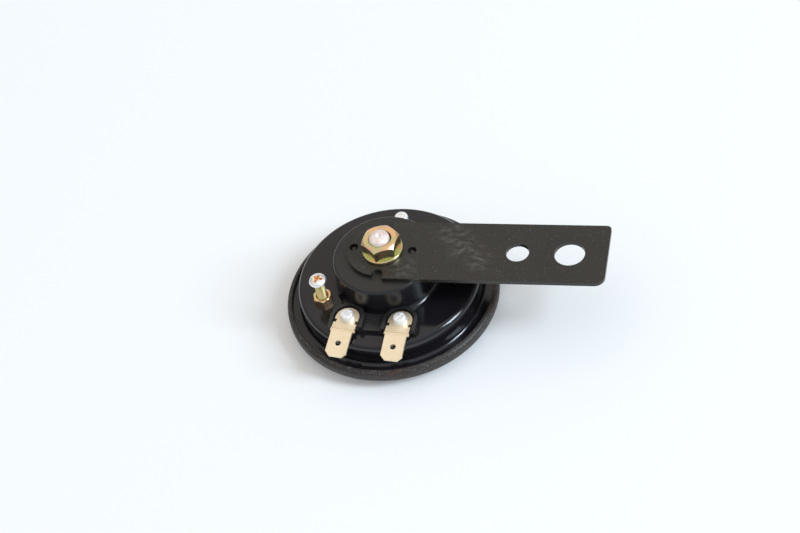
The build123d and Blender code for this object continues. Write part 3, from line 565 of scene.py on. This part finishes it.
def draw_line(name, points, closed):
    """A line of edges through points, extruded point by point, left open in edit mode."""
    deselect()
    bpy.ops.mesh.primitive_plane_add(size=MM, location=points[0])
    piece = bpy.context.object
    piece.name = name
    bpy.ops.object.mode_set(mode="EDIT")
    bpy.ops.mesh.select_mode(type="VERT")
    bpy.ops.mesh.select_all(action="SELECT")
    bpy.ops.mesh.merge(type="CENTER")
    for here, there in zip(points, points[1:]):
        step = Vector(there) - Vector(here)
        bpy.ops.mesh.extrude_vertices_move(TRANSFORM_OT_translate={"value": step})
    if closed:
        ends = Vector(points[0]), Vector(points[-1])
        select_points(piece, lambda p: min((p - end).length for end in ends) < WELD)
        bpy.ops.mesh.edge_face_add()
    return piece


def round_corners(piece, corners, segments):
    """Round the corners of a line: each corner is a point, its two neighbours and a radius."""
    for before, corner, after, radius in corners:
        angle = (corner - before).angle(after - corner)
        select_points(piece, lambda p, c=corner: (p - c).length < WELD)
        bpy.ops.mesh.bevel(
            offset_type="OFFSET",
            offset=radius * tan(angle / 2),
            segments=segments,
            affect="VERTICES",
        )


def lathe(name, section, steps=TURN_STEPS, corner_steps=6):
    """Turn a piece: a section of (radius, height, corner radius) swept once round Z."""
    points = [Vector((r, 0, z)) for r, z, _ in section]
    on_axis = points[0].x < WELD and points[-1].x < WELD
    piece = draw_line(name, points, closed=not on_axis)
    count = len(points)
    corners = [
        (points[i - 1], points[i], points[(i + 1) % count], section[i][2])
        for i in range(count)
        if section[i][2] > 0
    ]
    round_corners(piece, corners, corner_steps)
    bpy.ops.mesh.select_all(action="SELECT")
    bpy.ops.mesh.spin(steps=steps, angle=2 * pi, center=(0, 0, 0), axis=(0, 0, 1))
    bpy.ops.mesh.select_all(action="SELECT")
    bpy.ops.mesh.remove_doubles(threshold=WELD)
    bpy.ops.mesh.normals_make_consistent(inside=False)
    bpy.ops.object.mode_set(mode="OBJECT")
    return apply_place(piece)


def cylinder(name, radius, low, high, place=(0, 0), steps=SMALL_TURN_STEPS, angle=0.0):
    """An upright cylinder from one height to another, as a start or a cutter."""
    deselect()
    bpy.ops.mesh.primitive_cylinder_add(
        vertices=steps,
        radius=radius,
        depth=high - low,
        location=(place[0], place[1], (low + high) / 2),
        rotation=(0, 0, angle),
    )
    bpy.context.object.name = name
    return apply_place(bpy.context.object)


def block(name, low, high):
    """A box between two corners, as a start or a cutter."""
    deselect()
    low, high = Vector(low), Vector(high)
    bpy.ops.mesh.primitive_cube_add(size=1, location=(low + high) / 2)
    bpy.context.object.scale = high - low
    bpy.context.object.name = name
    return apply_place(bpy.context.object)


def combine(piece, *tools, operation="DIFFERENCE"):
    """Cut, add or keep the shared part of a piece and each tool, and clear the tools away."""
    for tool in tools:
        pick(piece)
        bpy.ops.object.modifier_add(type="BOOLEAN")
        made = piece.modifiers[-1]
        made.operation, made.object, made.solver = operation, tool, "EXACT"
        bpy.ops.object.modifier_apply(modifier=made.name)
        bpy.data.objects.remove(tool)
    return piece


def copy_of(piece, name):
    """A second piece with its own mesh."""
    made = piece.copy()
    made.data = piece.data.copy()
    made.name = name
    bpy.context.scene.collection.objects.link(made)
    return made


def move(piece, x=0.0, y=0.0, z=0.0, angle=0.0):
    """Turn a piece about Z at the origin, then move it, and keep that in its mesh."""
    piece.matrix_world = Matrix.Translation((x, y, z)) @ Matrix.Rotation(angle, 4, "Z") @ piece.matrix_world
    return apply_place(piece)


def soften(piece, width, segments=3, angle=38):
    """Round a piece's sharp edges a little, as pressing, plating and paint leave them."""
    pick(piece)
    bpy.ops.object.modifier_add(type="BEVEL")
    made = piece.modifiers[-1]
    made.width, made.segments = width, segments
    made.limit_method, made.angle_limit = "ANGLE", radians(angle)
    made.use_clamp_overlap = True
    bpy.ops.object.modifier_apply(modifier=made.name)
    return piece


def dress(piece, nodes, material, smooth=32):
    """Shade a finished piece, give it its material and body, and let it stand for its nodes."""
    edit(piece)
    bpy.ops.mesh.select_all(action="SELECT")
    bpy.ops.mesh.remove_doubles(threshold=WELD)
    close()
    bpy.ops.object.shade_smooth_by_angle(angle=radians(smooth))
    bpy.ops.object.modifier_add(type="WEIGHTED_NORMAL")
    piece.modifiers[-1].keep_sharp = True
    bpy.ops.object.modifier_apply(modifier=piece.modifiers[-1].name)
    piece.data.materials.clear()
    piece.data.materials.append(material)
    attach(piece, BODY)
    if nodes:
        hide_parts(*nodes)
    return piece


def hex_nut(name, flats, low, high, bore, chamfer, place, angle, countersink):
    """A hexagon nut whose corners are turned off by a cone, with a countersunk bore."""
    corner = flats / 2 / cos(pi / 6)
    nut = cylinder(name, corner, low, high, steps=6, angle=pi / 6)
    cone = [
        (0, low, 0),
        (corner - chamfer * 0.4, low, 0),
        (corner + 0.1 * MM, low + chamfer * 0.35, 0),
        (corner + 0.1 * MM, high - chamfer, 0),
        (flats / 2 * 0.97, high, 0),
        (0, high, 0),
    ]
    combine(nut, lathe("nut_cone", cone, SMALL_TURN_STEPS), operation="INTERSECT")
    drill = [
        (0, low - MM, 0),
        (bore, low - MM, 0),
        (bore, high - countersink, 0),
        (bore + countersink, high + 0.001 * MM, 0),
        (bore + countersink, high + MM, 0),
        (0, high + MM, 0),
    ]
    combine(nut, lathe("nut_drill", drill, SMALL_TURN_STEPS))
    soften(nut, 0.18 * MM, 3, 25)
    return move(nut, place[0], place[1], 0, angle)


def block_place(side):
    """A point on the terminal block's long axis, that far from its middle."""
    t = bpy.context.scene.horn_terminals
    return Vector((t.block_x + side * cos(t.block_turn), t.block_y + side * sin(t.block_turn)))


def pip_place(side):
    """The place of a pip, -1 for the one at the strap's round end and 1 for the one beyond the nut."""
    s = bpy.context.scene.horn_strap
    reach = side * s.pip_circle
    return Vector((reach * cos(s.pip_turn), s.shift + s.pip_shift + reach * sin(s.pip_turn)))


# ---------------------------------------------------------------- pieces


class HORN_OT_cover(bpy.types.Operator):
    """Press the front cover, roll its rim over the housing and cut the eight sound slots."""

    bl_idname = "horn.cover"
    bl_label = "Front cover"

    def execute(self, context):
        s = context.scene.horn_body
        high = BOX["front_cover"][1]
        rim, top = high.x, high.z
        rise = s.face_radius + s.face_slope
        shelf = s.face_step + s.sheet
        lip = rim - s.lip_width
        under_lip = top - s.sheet
        inner, outer = s.recess_inner, s.recess_outer
        inner_foot, outer_foot = inner + s.recess_slope, outer - s.recess_slope
        deep = s.recess_depth
        soft = 0.8 * MM
        section = [
            (0, 0, 0),
            (inner, 0, soft),
            (inner_foot, deep, soft),
            (outer_foot, deep, soft),
            (outer, 0, soft),
            (s.face_radius, 0, 0.9 * MM),
            (rise, s.face_step, 0.5 * MM),
            (rim, s.face_step, s.rim_round),
            (rim, top, s.lip_round),
            (lip, top, 0.2 * MM),
            (lip, under_lip, 0),
            (rim - s.sheet, under_lip, 0),
            (rim - s.sheet, shelf, 0),
            (rise - s.sheet, shelf, 0),
            (s.face_radius - s.sheet, s.sheet, 0),
            (outer, s.sheet, 0),
            (outer_foot, s.sheet + deep, 0),
            (inner_foot, s.sheet + deep, 0),
            (inner, s.sheet, 0),
            (0, s.sheet, 0),
        ]
        cover = lathe("horn_front_cover", section)
        half = s.slot_width / 2
        for number in range(SLOTS):
            slot = cylinder("slot", half, -MM, 3 * MM, (s.slot_inner + half, 0), 32)
            edit(slot)
            select_points(slot, lambda p: p.x > s.slot_inner + half + WELD)
            bpy.ops.transform.translate(value=(s.slot_outer - s.slot_inner - 2 * half, 0, 0))
            close()
            combine(cover, move(slot, angle=number * 2 * pi / SLOTS))
        paint = matte_rim_paint(context.scene.horn_finishes)
        dress(cover, ["front_cover"], paint, 30)
        return {"FINISHED"}


class HORN_OT_housing(bpy.types.Operator):
    """Draw the housing with its hub and pierce it for the screw, the rivets and the terminals."""

    bl_idname = "horn.housing"
    bl_label = "Housing"

    def execute(self, context):
        s = context.scene.horn_body
        strap = context.scene.horn_strap
        fasteners = context.scene.horn_fasteners
        low, high = BOX["housing"]
        edge, bottom = high.x, low.z
        top = BOX["mounting_strap"][0].z
        t = s.housing_sheet
        flange, under = bottom + t, s.shelf_height - t
        bore = fasteners.stud_radius + 0.2 * MM
        section = [
            (bore, top, 0),
            (s.hub_radius, top, s.hub_edge),
            (s.hub_base_radius, s.shelf_height, s.hub_foot),
            (s.shoulder_radius, s.shelf_height, s.shoulder_round),
            (s.wall_foot_radius, flange, s.wall_foot),
            (edge, flange, 0.1 * MM),
            (edge, bottom, 0.1 * MM),
            (s.wall_foot_radius - t, bottom, s.wall_foot + t),
            (s.shoulder_radius - t, under, 0.5 * MM),
            (s.hub_base_radius - t, under, s.hub_foot + t),
            (s.hub_radius - t, top - t, 0.5 * MM),
            (bore, top - t, 0),
        ]
        housing = lathe("horn_housing", section, corner_steps=8)
        for side in (-1, 1):
            pip = [
                (0, top - 0.3 * MM, 0),
                (strap.pip, top - 0.3 * MM, 0),
                (strap.pip * 0.94, high.z, strap.pip / 2),
                (0, high.z, 0),
            ]
            place = pip_place(side)
            combine(housing, move(lathe("pip", pip, 32), place.x, place.y), operation="UNION")
        screw = BOX["lock_nut"]
        rivet = BOX["contact_rivet"]
        holes = [
            ((screw[0] + screw[1]) / 2, fasteners.screw_radius),
            ((rivet[0] + rivet[1]) / 2, 1.15 * MM),
        ]
        pitch = context.scene.horn_terminals.pitch
        holes += [(block_place(side), 2.55 * MM) for side in (-pitch / 2, pitch / 2)]
        for place, radius in holes:
            combine(housing, cylinder("hole", radius, under - MM, s.shelf_height + MM, place, 32))
        enamel = stoved_black_enamel(context.scene.horn_finishes)
        dress(housing, ["housing"], enamel, 30)
        return {"FINISHED"}


class HORN_OT_strap(bpy.types.Operator):
    """Blank the mounting strap with its round end, its two holes, notches and pip holes."""

    bl_idname = "horn.strap"
    bl_label = "Mounting strap"

    def execute(self, context):
        s = context.scene.horn_strap
        low, high = BOX["mounting_strap"]
        half = (high.y - low.y) / 2
        middle = (high.y + low.y) / 2
        strap = block("horn_mounting_strap", (0, low.y, low.z), high)
        edit(strap)
        for y, radius in ((low.y, s.front_corner), (high.y, s.back_corner)):
            select_points(strap, lambda p, y=y: p.x > high.x - WELD and abs(p.y - y) < WELD)
            bpy.ops.mesh.bevel(offset=radius, segments=10, affect="EDGES")
        close()
        centre = (-s.end_inset / 2, middle + s.end_inset / 2)
        end = cylinder("end", half - s.end_inset, low.z, high.z, centre, 96)
        combine(strap, end, operation="UNION")
        under, over = low.z - MM, high.z + MM
        holes = [
            (0, 0, context.scene.horn_fasteners.stud_radius + 0.2 * MM),
            (s.small_hole_place, middle, s.small_hole),
            (s.large_hole_place, middle, s.large_hole),
            (*pip_place(-1), s.pip_hole),
            (*pip_place(1), s.pip_hole),
            (0, middle - s.notch_place, s.notch),
            (0, middle + s.notch_place, s.notch),
        ]
        for x, y, radius in holes:
            combine(strap, cylinder("hole", radius, under, over, (x, y), 64))
        for side in (-1, 1):
            inner, outer = middle + side * s.notch_place, middle + side * (half + MM)
            near, far = min(inner, outer), max(inner, outer)
            combine(strap, block("gap", (-s.notch, near, under), (s.notch, far, over)))
        soften(strap, s.edge, 3, 50)
        paint = satin_strap_paint(context.scene.horn_finishes)
        dress(strap, ["mounting_strap"], paint)
        return {"FINISHED"}


class HORN_OT_stud(bpy.types.Operator):
    """Turn the pole core with its stud, and make the stud's nut and washer."""

    bl_idname = "horn.stud"
    bl_label = "Stud, nut and washer"

    def execute(self, context):
        f = context.scene.horn_fasteners
        finishes = context.scene.horn_finishes
        low, high = BOX["pole_core"]
        core, top = high.x, high.z + f.stud_end
        shoulder = BOX["coil_bobbin"][1].z
        pit = 0.8 * MM
        section = [
            (0, low.z, 0),
            (core, low.z, 0.3 * MM),
            (core, shoulder, 0),
            (f.stud_radius, shoulder, 0),
            (f.stud_radius, top - 1.3 * MM, 0.3 * MM),
            (f.stud_radius - 0.25 * MM, top - 0.5 * MM, 0.4 * MM),
            (f.stud_radius * 0.62, top - 0.1 * MM, 0.8 * MM),
            (pit, top, 0.3 * MM),
            (pit * 0.45, top - 0.45 * MM, 0.1 * MM),
            (0, top - 0.6 * MM, 0),
        ]
        stud = lathe("horn_pole_core_stud", section, SMALL_TURN_STEPS)
        zinc = bright_zinc("stud_zinc", finishes, finishes.zinc_pink)
        dress(stud, ["pole_core"], zinc, 30)
        gold = yellow_zinc(finishes)
        nut_low, nut_high = BOX["stud_nut"]
        lowered, slack, countersink = 0.4 * MM, 0.25 * MM, 0.2 * MM
        off_centre = (0.15 * MM, 0.2 * MM)
        nut = hex_nut(
            "horn_stud_nut", f.nut_flats, nut_low.z, nut_high.z - lowered, f.stud_radius + slack,
            f.nut_chamfer, off_centre, f.nut_turn, countersink,
        )
        dress(nut, ["stud_nut"], gold, 24)
        washer_low, washer_high = BOX["stud_washer"]
        inner, outer = f.stud_radius + 0.4 * MM, washer_high.x
        washer = lathe(
            "horn_stud_washer",
            [
                (inner, washer_low.z, 0.1 * MM),
                (outer, washer_low.z, 0.3 * MM),
                (outer, washer_high.z, 0.3 * MM),
                (inner, washer_high.z, 0.1 * MM),
            ],
            96,
        )
        move(washer, 0.2 * MM, 0.3 * MM)
        dress(washer, ["stud_washer"], gold, 30)
        return {"FINISHED"}


class HORN_OT_adjuster(bpy.types.Operator):
    """Turn the adjusting screw with its cross recess and thread, and make its lock nut."""

    bl_idname = "horn.adjuster"
    bl_label = "Adjusting screw and lock nut"

    def execute(self, context):
        f = context.scene.horn_fasteners
        low, high = BOX["adjusting_screw"]
        centre = (low + high) / 2
        head = (high.x - low.x) / 2
        under = high.z - f.screw_head_height
        root = f.screw_radius - 0.3 * MM
        section = [
            (0, low.z, 0),
            (root, low.z, 0),
            (root, under - 0.4 * MM, 0),
            (f.screw_radius, under - 0.3 * MM, 0),
            (f.screw_radius, under, 0),
            (head - 0.1 * MM, under, 0.08 * MM),
            (head, under + 0.25 * MM, 0.15 * MM),
            (head - 0.2 * MM, under + 0.85 * MM, 0.5 * MM),
            (head * 0.55, high.z - 0.06 * MM, 0.9 * MM),
            (0, high.z, 0),
        ]
        screw = lathe("horn_adjusting_screw", section, SMALL_TURN_STEPS)
        arm, web, deep = 2.2 * MM, 0.55 * MM, high.z - 1.2 * MM
        for angle in (0, pi / 2):
            bar = block("recess", (-arm, -web, deep), (arm, web, high.z + MM))
            edit(bar)
            select_points(bar, lambda p: p.z < high.z)
            bpy.ops.transform.resize(value=(0.45, 0.55, 1.0), center_override=(0, 0, deep))
            close()
            combine(screw, move(bar, angle=angle))
        soften(screw, 0.06 * MM, 2, 40)
        thread = self.thread(f, root, low.z + 0.1 * MM, under - 0.45 * MM)
        combine(screw, thread, operation="UNION")
        move(screw, centre.x, centre.y, 0, f.lock_nut_turn)
        finishes = context.scene.horn_finishes
        gold = yellow_zinc(finishes)
        dress(screw, ["adjusting_screw"], adjusting_screw_zinc(finishes), 30)
        nut_low, nut_high = BOX["lock_nut"]
        nut = hex_nut(
            "horn_lock_nut", f.lock_nut_flats, nut_low.z, nut_high.z, f.screw_radius + 0.05 * MM,
            f.lock_nut_chamfer, (centre.x, centre.y), f.lock_nut_turn, 0.35 * MM,
        )
        dress(nut, ["lock_nut"], gold, 24)
        return {"FINISHED"}

    def thread(self, f, root, low, high):
        """A ridge wound up the shank with the Screw modifier, closed at its ends."""
        pitch = f.screw_pitch
        sunk, foot = root - 0.15 * MM, root - 0.02 * MM
        ridge = draw_line(
            "thread",
            [
                Vector((sunk, 0, low)),
                Vector((foot, 0, low)),
                Vector((f.screw_radius, 0, low + pitch * 0.38)),
                Vector((f.screw_radius, 0, low + pitch * 0.5)),
                Vector((foot, 0, low + pitch * 0.88)),
                Vector((sunk, 0, low + pitch * 0.88)),
            ],
            closed=True,
        )
        close()
        apply_place(ridge)
        bpy.ops.object.modifier_add(type="SCREW")
        made = ridge.modifiers[-1]
        made.axis = "Z"
        made.screw_offset = pitch
        made.iterations = int((high - low) / pitch)
        made.steps = made.render_steps = 32
        bpy.ops.object.modifier_apply(modifier=made.name)
        bpy.ops.object.mode_set(mode="EDIT")
        bpy.ops.mesh.select_all(action="SELECT")
        bpy.ops.mesh.remove_doubles(threshold=WELD)
        bpy.ops.mesh.select_all(action="DESELECT")
        bpy.ops.mesh.select_mode(type="EDGE")
        bpy.ops.mesh.select_non_manifold()
        bpy.ops.mesh.edge_face_add()
        bpy.ops.mesh.select_all(action="SELECT")
        bpy.ops.mesh.normals_make_consistent(inside=False)
        bpy.ops.object.mode_set(mode="OBJECT")
        return ridge


class HORN_OT_terminal_block(bpy.types.Operator):
    """Mould the terminal block with its two round-backed pockets and the link between them."""

    bl_idname = "horn.terminal_block"
    bl_label = "Terminal block"

    def execute(self, context):
        t = context.scene.horn_terminals
        base = context.scene.horn_body.shelf_height
        floor, top = base + t.floor, base + t.floor + t.wall_height
        spigot = BOX["terminal_block"][0].z
        outer = t.pocket + t.wall
        sides = (-t.pitch / 2, t.pitch / 2)
        body = block("horn_terminal_block", (sides[0], -t.front, base), (sides[1], t.link_back, floor))
        for side in sides:
            combine(
                body,
                cylinder("back", outer, base, top, (side, 0), 96),
                block("cheeks", (side - outer, -t.front, base), (side + outer, 0, top)),
                operation="UNION",
            )
        for side in sides:
            left, right = side - outer - MM, side + outer + MM
            combine(
                body,
                block("front", (left, -t.front - 3 * outer, base - MM), (right, -t.front, top + MM)),
                cylinder("pocket", t.pocket, floor, top + MM, (side, 0), 96),
                block("mouth", (side - t.pocket, -t.front - MM, floor), (side + t.pocket, 0, top + MM)),
            )
        for side in sides:
            peg = cylinder("spigot", 2.5 * MM, spigot, floor - 0.2 * MM, (side, 0), 48)
            combine(body, peg, operation="UNION")
            combine(body, cylinder("rivet_hole", 1.25 * MM, spigot - MM, top + MM, (side, 0), 32))
        move(body, t.block_x, t.block_y, 0, t.block_turn)
        hub = context.scene.horn_body
        relief = hub.hub_base_radius + t.relief_gap
        cone = [
            (0, base - MM, 0),
            (relief + hub.hub_foot, base - MM, 0),
            (relief + hub.hub_foot, base, 0),
            (relief, base + hub.hub_foot, 0),
            (relief, top + MM, 0),
            (0, top + MM, 0),
        ]
        combine(body, lathe("hub_relief", cone))
        soften(body, 0.28 * MM, 3, 40)
        plastic = moulded_black_plastic(context.scene.horn_finishes)
        dress(body, ["terminal_block"], plastic)
        return {"FINISHED"}


class HORN_OT_terminals(bpy.types.Operator):
    """Blank, pierce and bend the two blade terminals."""

    bl_idname = "horn.terminals"
    bl_label = "Blade terminals"

    def blank(self, t, low):
        """The flat terminal about its rivet, with its blade toward -Y."""
        high = low + t.blade_sheet
        fold = -t.bend_place
        tip = fold - t.blade_length
        half, wide, ear = t.blade_width / 2, t.ear_width / 2, 0.35 * MM
        notch_reach, notch_front, notch_back = 0.7 * MM, -2.1 * MM, -1.0 * MM
        blank = block("blank", (-half, tip, low), (half, fold, high))
        edit(blank)
        for side in (-half, half):
            select_points(blank, lambda p, x=side: p.y < tip + WELD and abs(p.x - x) < WELD)
            bpy.ops.mesh.bevel(offset=t.tip_chamfer, segments=1, affect="EDGES")
        close()
        pad = t.pad
        combine(
            blank,
            block("pad", (-pad, fold, low), (pad, 0, high)),
            cylinder("back", pad, low, high, (0, 0), 64),
            block("ears", (-wide, fold - ear, low), (wide, fold + ear, high)),
            operation="UNION",
        )
        for side in (-1, 1):
            left, right = side * pad - notch_reach, side * pad + notch_reach
            combine(blank, block("notch", (left, notch_front, low - MM), (right, notch_back, high + MM)))
        combine(
            blank,
            cylinder("latch_hole", t.latch_hole, low - MM, high + MM, (0, tip + t.latch_place), 40),
            cylinder("rivet_hole", 1.25 * MM, low - MM, high + MM, (0, 0), 40),
        )
        return blank

    def execute(self, context):
        t = context.scene.horn_terminals
        low = context.scene.horn_body.shelf_height + t.floor
        fold = -t.bend_place
        creases = [fold - BEND_START * MM - number * BEND_STEP * MM for number in range(BEND_CREASES)]
        plated = nickelled_brass(context.scene.horn_finishes)
        for node, side, askew in (
            ("terminal_left", -t.pitch / 2, t.left_turn),
            ("terminal_right", t.pitch / 2, t.right_turn),
        ):
            terminal = self.blank(t, low)
            terminal.name = "horn_" + node
            edit(terminal)
            for y in creases:
                bpy.ops.mesh.select_all(action="SELECT")
                bpy.ops.mesh.bisect(plane_co=(0, y, low), plane_no=(0, 1, 0))
            for y in creases:
                select_points(terminal, lambda p, y=y: p.y < y - 0.02 * MM)
                bend(terminal, t.blade_drop / BEND_CREASES, (0, y, low))
            close()
            groove = cylinder("groove", 0.42 * MM, -5 * MM, 5 * MM, (0, 0), 24)
            on_fold = Matrix.Translation((0, fold, low + t.blade_sheet + 0.05 * MM))
            groove.matrix_world = on_fold @ Matrix.Rotation(pi / 2, 4, "Y")
            apply_place(groove)
            combine(terminal, groove)
            soften(terminal, 0.1 * MM, 3, 35)
            place = block_place(side)
            move(terminal, place.x, place.y, 0, t.block_turn + askew)
            dress(terminal, [node], plated, 30)
        return {"FINISHED"}


def bend(piece, angle, hinge):
    """Turn the selected points down about a line along X through the hinge point."""
    turned = Matrix.Rotation(angle, 4, "X")
    mesh = bmesh.from_edit_mesh(piece.data)
    for point in mesh.verts:
        if point.select:
            point.co = turned @ (point.co - Vector(hinge)) + Vector(hinge)
    bmesh.update_edit_mesh(piece.data)


class HORN_OT_rivets(bpy.types.Operator):
    """Head the two star-crimped terminal rivets and the contact rivet."""

    bl_idname = "horn.rivets"
    bl_label = "Rivets"

    def rivet(self, name, radius, shank, seat, head, low, tail_low, tail):
        """A rivet about Z: domed head on its seat, shank, and tail under the inner pieces."""
        return lathe(
            name,
            [
                (0, tail_low, 0),
                (tail, tail_low, 0.2 * MM),
                (tail, low, 0),
                (shank, low, 0),
                (shank, seat, 0),
                (radius - 0.05 * MM, seat, 0.05 * MM),
                (radius, seat + 0.25 * MM, 0.1 * MM),
                (radius - 0.25 * MM, seat + head, 0.5 * MM),
                (0, seat + head, 0),
            ],
            SMALL_TURN_STEPS,
        )

    def execute(self, context):
        f = context.scene.horn_fasteners
        finishes = context.scene.horn_finishes
        zinc = bright_zinc("bright_zinc", finishes, finishes.zinc_bloom)
        low, high = BOX["terminal_rivets"]
        seat = BOX["terminal_block"][0].z + context.scene.horn_body.housing_sheet
        seat += context.scene.horn_terminals.floor + context.scene.horn_terminals.blade_sheet
        pitch = context.scene.horn_terminals.pitch
        first = self.rivet(
            "rivet", f.rivet_head, f.rivet_shank, seat, high.z - seat, low.z + 0.8 * MM, low.z, 1.9 * MM
        )
        arm, web, deep, lean = 2.4 * MM, 0.16 * MM, 0.22 * MM, 0.2
        for number in range(3):
            bar = block("crimp", (-arm, -web, high.z - deep), (arm, web, high.z + MM))
            combine(first, move(bar, angle=number * pi / 3 + lean))
        wide = 0.35 * MM
        dimple = [(0, high.z - 0.4 * MM, 0), (wide, high.z, 0), (wide, high.z + MM, 0), (0, high.z + MM, 0)]
        combine(first, lathe("dimple", dimple, 24))
        soften(first, 0.05 * MM, 2, 35)
        for name, side in (("horn_terminal_rivet_left", -1), ("horn_terminal_rivet_right", 1)):
            place = block_place(side * pitch / 2)
            made = copy_of(first, name)
            move(made, place.x, place.y, 0, side * CRIMP_TURN)
            dress(made, ["terminal_rivets"] if side < 0 else [], zinc, 30)
        bpy.data.objects.remove(first)
        low, high = BOX["contact_rivet"]
        seat = context.scene.horn_body.shelf_height
        contact = self.rivet(
            "horn_contact_rivet", f.contact_head, f.contact_shank,
            seat, high.z - seat, low.z + MM, low.z, 1.8 * MM,
        )
        middle = (low + high) / 2
        move(contact, middle.x, middle.y)
        dress(contact, ["contact_rivet"], zinc, 30)
        return {"FINISHED"}


class HORN_OT_inner_parts(bpy.types.Operator):
    """Give every inner part the finish of its real material."""

    bl_idname = "horn.inner_parts"
    bl_label = "Inner parts"

    def execute(self, context):
        for name, (*look, nodes) in INNER_FINISHES.items():
            material = inner_finish(name, *look)
            for node in nodes:
                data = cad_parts[node].data
                data.materials.clear()
                data.materials.append(material)
        return {"FINISHED"}


class HORN_OT_stage(bpy.types.Operator):
    """Lay the pale floor, hang the lights and set up the camera."""

    bl_idname = "horn.stage"
    bl_label = "Floor, lights and camera"

    def execute(self, context):
        self.floor(context)
        self.lights(context)
        self.camera(context)
        return {"FINISHED"}

    def floor(self, context):
        """A wide pale sheet that stays white and still takes the horn's shadow."""
        deselect()
        bpy.ops.mesh.primitive_plane_add(size=6.0, location=(0, 0, 0))
        sheet = context.object
        sheet.name = "stage_floor"
        material = bpy.data.materials.new("pale_paper")
        material.use_nodes = True
        tree = material.node_tree
        tree.nodes.remove(tree.nodes["Principled BSDF"])
        node = partial(add_node, tree)
        seen = 0.0
        for ray in ("Is Camera Ray", "Is Glossy Ray", "Is Transmission Ray"):
            seen = node(MATHS, {0: seen, 1: node("ShaderNodeLightPath", {}, ray)}, operation="MAXIMUM")
        lift = node(MATHS, {0: seen, 1: PAPER_LIFT}, operation="MULTIPLY")
        glow = node("ShaderNodeEmission", {"Color": PAPER_TINT, "Strength": lift})
        paper = node("ShaderNodeBsdfDiffuse", {"Color": PAPER_WHITE})
        set_inputs(
            tree.nodes["Material Output"], {"Surface": node("ShaderNodeAddShader", {0: glow, 1: paper})}
        )
        sheet.data.materials.append(material)

    def lights(self, context):
        """A room that is bright overhead and warm behind, and a cool window on the right."""
        world = bpy.data.worlds.new("room")
        world.use_nodes = True
        node = partial(add_node, world.node_tree)
        direction = node("ShaderNodeTexCoord", {}, "Generated")
        height = node("ShaderNodeSeparateXYZ", {"Vector": direction}, "Z")
        level = {"From Min": 0.1, "From Max": 0.95, "To Min": 0.35, "To Max": 0.95}
        level = node(RANGE, {"Value": height, **level})
        behind = node(VECTORS, {0: direction, 1: WARM_SIDE}, "Value", operation="DOT_PRODUCT")
        warmth = node(RANGE, {"Value": behind, "From Min": -0.2, "From Max": 0.9})
        tint = node(MIX, {SHARE: warmth, FIRST: ROOM_COOL, SECOND: ROOM_WARM}, **COLOURS)
        set_inputs(world.node_tree.nodes["Background"], {"Color": tint, "Strength": level})
        context.scene.world = world
        lamp = bpy.data.lights.new("window", "AREA")
        lamp.shape = "RECTANGLE"
        lamp.size, lamp.size_y = WINDOW_SIZE
        lamp.energy = WINDOW_POWER
        lamp.color = WINDOW_TINT
        holder = bpy.data.objects.new("window", lamp)
        holder.location = WINDOW_PLACE
        holder.rotation_euler = (-Vector(WINDOW_PLACE)).to_track_quat("-Z", "Y").to_euler()
        context.scene.collection.objects.link(holder)

    def camera(self, context):
        """The camera, from its three axes and its place."""
        right = Vector(CAMERA_RIGHT).normalized()
        back = Vector(CAMERA_BACK).normalized()
        up = back.cross(right).normalized()
        right = up.cross(back)
        eye = Vector(CAMERA_EYE) * MM
        data = bpy.data.cameras.new("camera")
        data.lens = CAMERA_LENS
        data.sensor_width = 36
        data.clip_start = 0.01
        data.clip_end = 20
        holder = bpy.data.objects.new("camera", data)
        holder.matrix_world = Matrix.Translation(eye) @ Matrix((right, up, back)).transposed().to_4x4()
        context.scene.collection.objects.link(holder)
        context.scene.camera = holder
        context.scene.view_settings.view_transform = "Standard"


OPERATORS = (
    HORN_OT_cover,
    HORN_OT_housing,
    HORN_OT_strap,
    HORN_OT_stud,
    HORN_OT_adjuster,
    HORN_OT_terminal_block,
    HORN_OT_terminals,
    HORN_OT_rivets,
    HORN_OT_inner_parts,
    HORN_OT_stage,
)


class HORN_PT_panel(bpy.types.Panel):
    """Sizes, colours and building steps of the horn."""

    bl_idname = "HORN_PT_panel"
    bl_label = "Disc horn"
    bl_space_type = "VIEW_3D"
    bl_region_type = "UI"
    bl_category = "Horn"

    def draw(self, context):
        for step in OPERATORS:
            self.layout.operator(step.bl_idname)
        for name, group in SCENE_GROUPS.items():
            box = self.layout.box()
            box.label(text=group.__doc__)
            for key in group.__annotations__:
                box.prop(getattr(context.scene, name), key)


def register():
    """Register the groups, the operators and the panel."""
    for name, group in SCENE_GROUPS.items():
        bpy.utils.register_class(group)
        setattr(bpy.types.Scene, name, bpy.props.PointerProperty(type=group))
    for made in (*OPERATORS, HORN_PT_panel):
        bpy.utils.register_class(made)


def unregister():
    """Take the panel, the operators and the groups away again."""
    for made in reversed((*OPERATORS, HORN_PT_panel)):
        bpy.utils.unregister_class(made)
    for name, group in SCENE_GROUPS.items():
        delattr(bpy.types.Scene, name)
        bpy.utils.unregister_class(group)


def main():
    """Build every piece and the stage."""
    register()
    bpy.ops.horn.cover()
    bpy.ops.horn.housing()
    bpy.ops.horn.strap()
    bpy.ops.horn.stud()
    bpy.ops.horn.adjuster()
    bpy.ops.horn.terminal_block()
    bpy.ops.horn.terminals()
    bpy.ops.horn.rivets()
    bpy.ops.horn.inner_parts()
    bpy.ops.horn.stage()


if __name__ == "__main__":
    main()
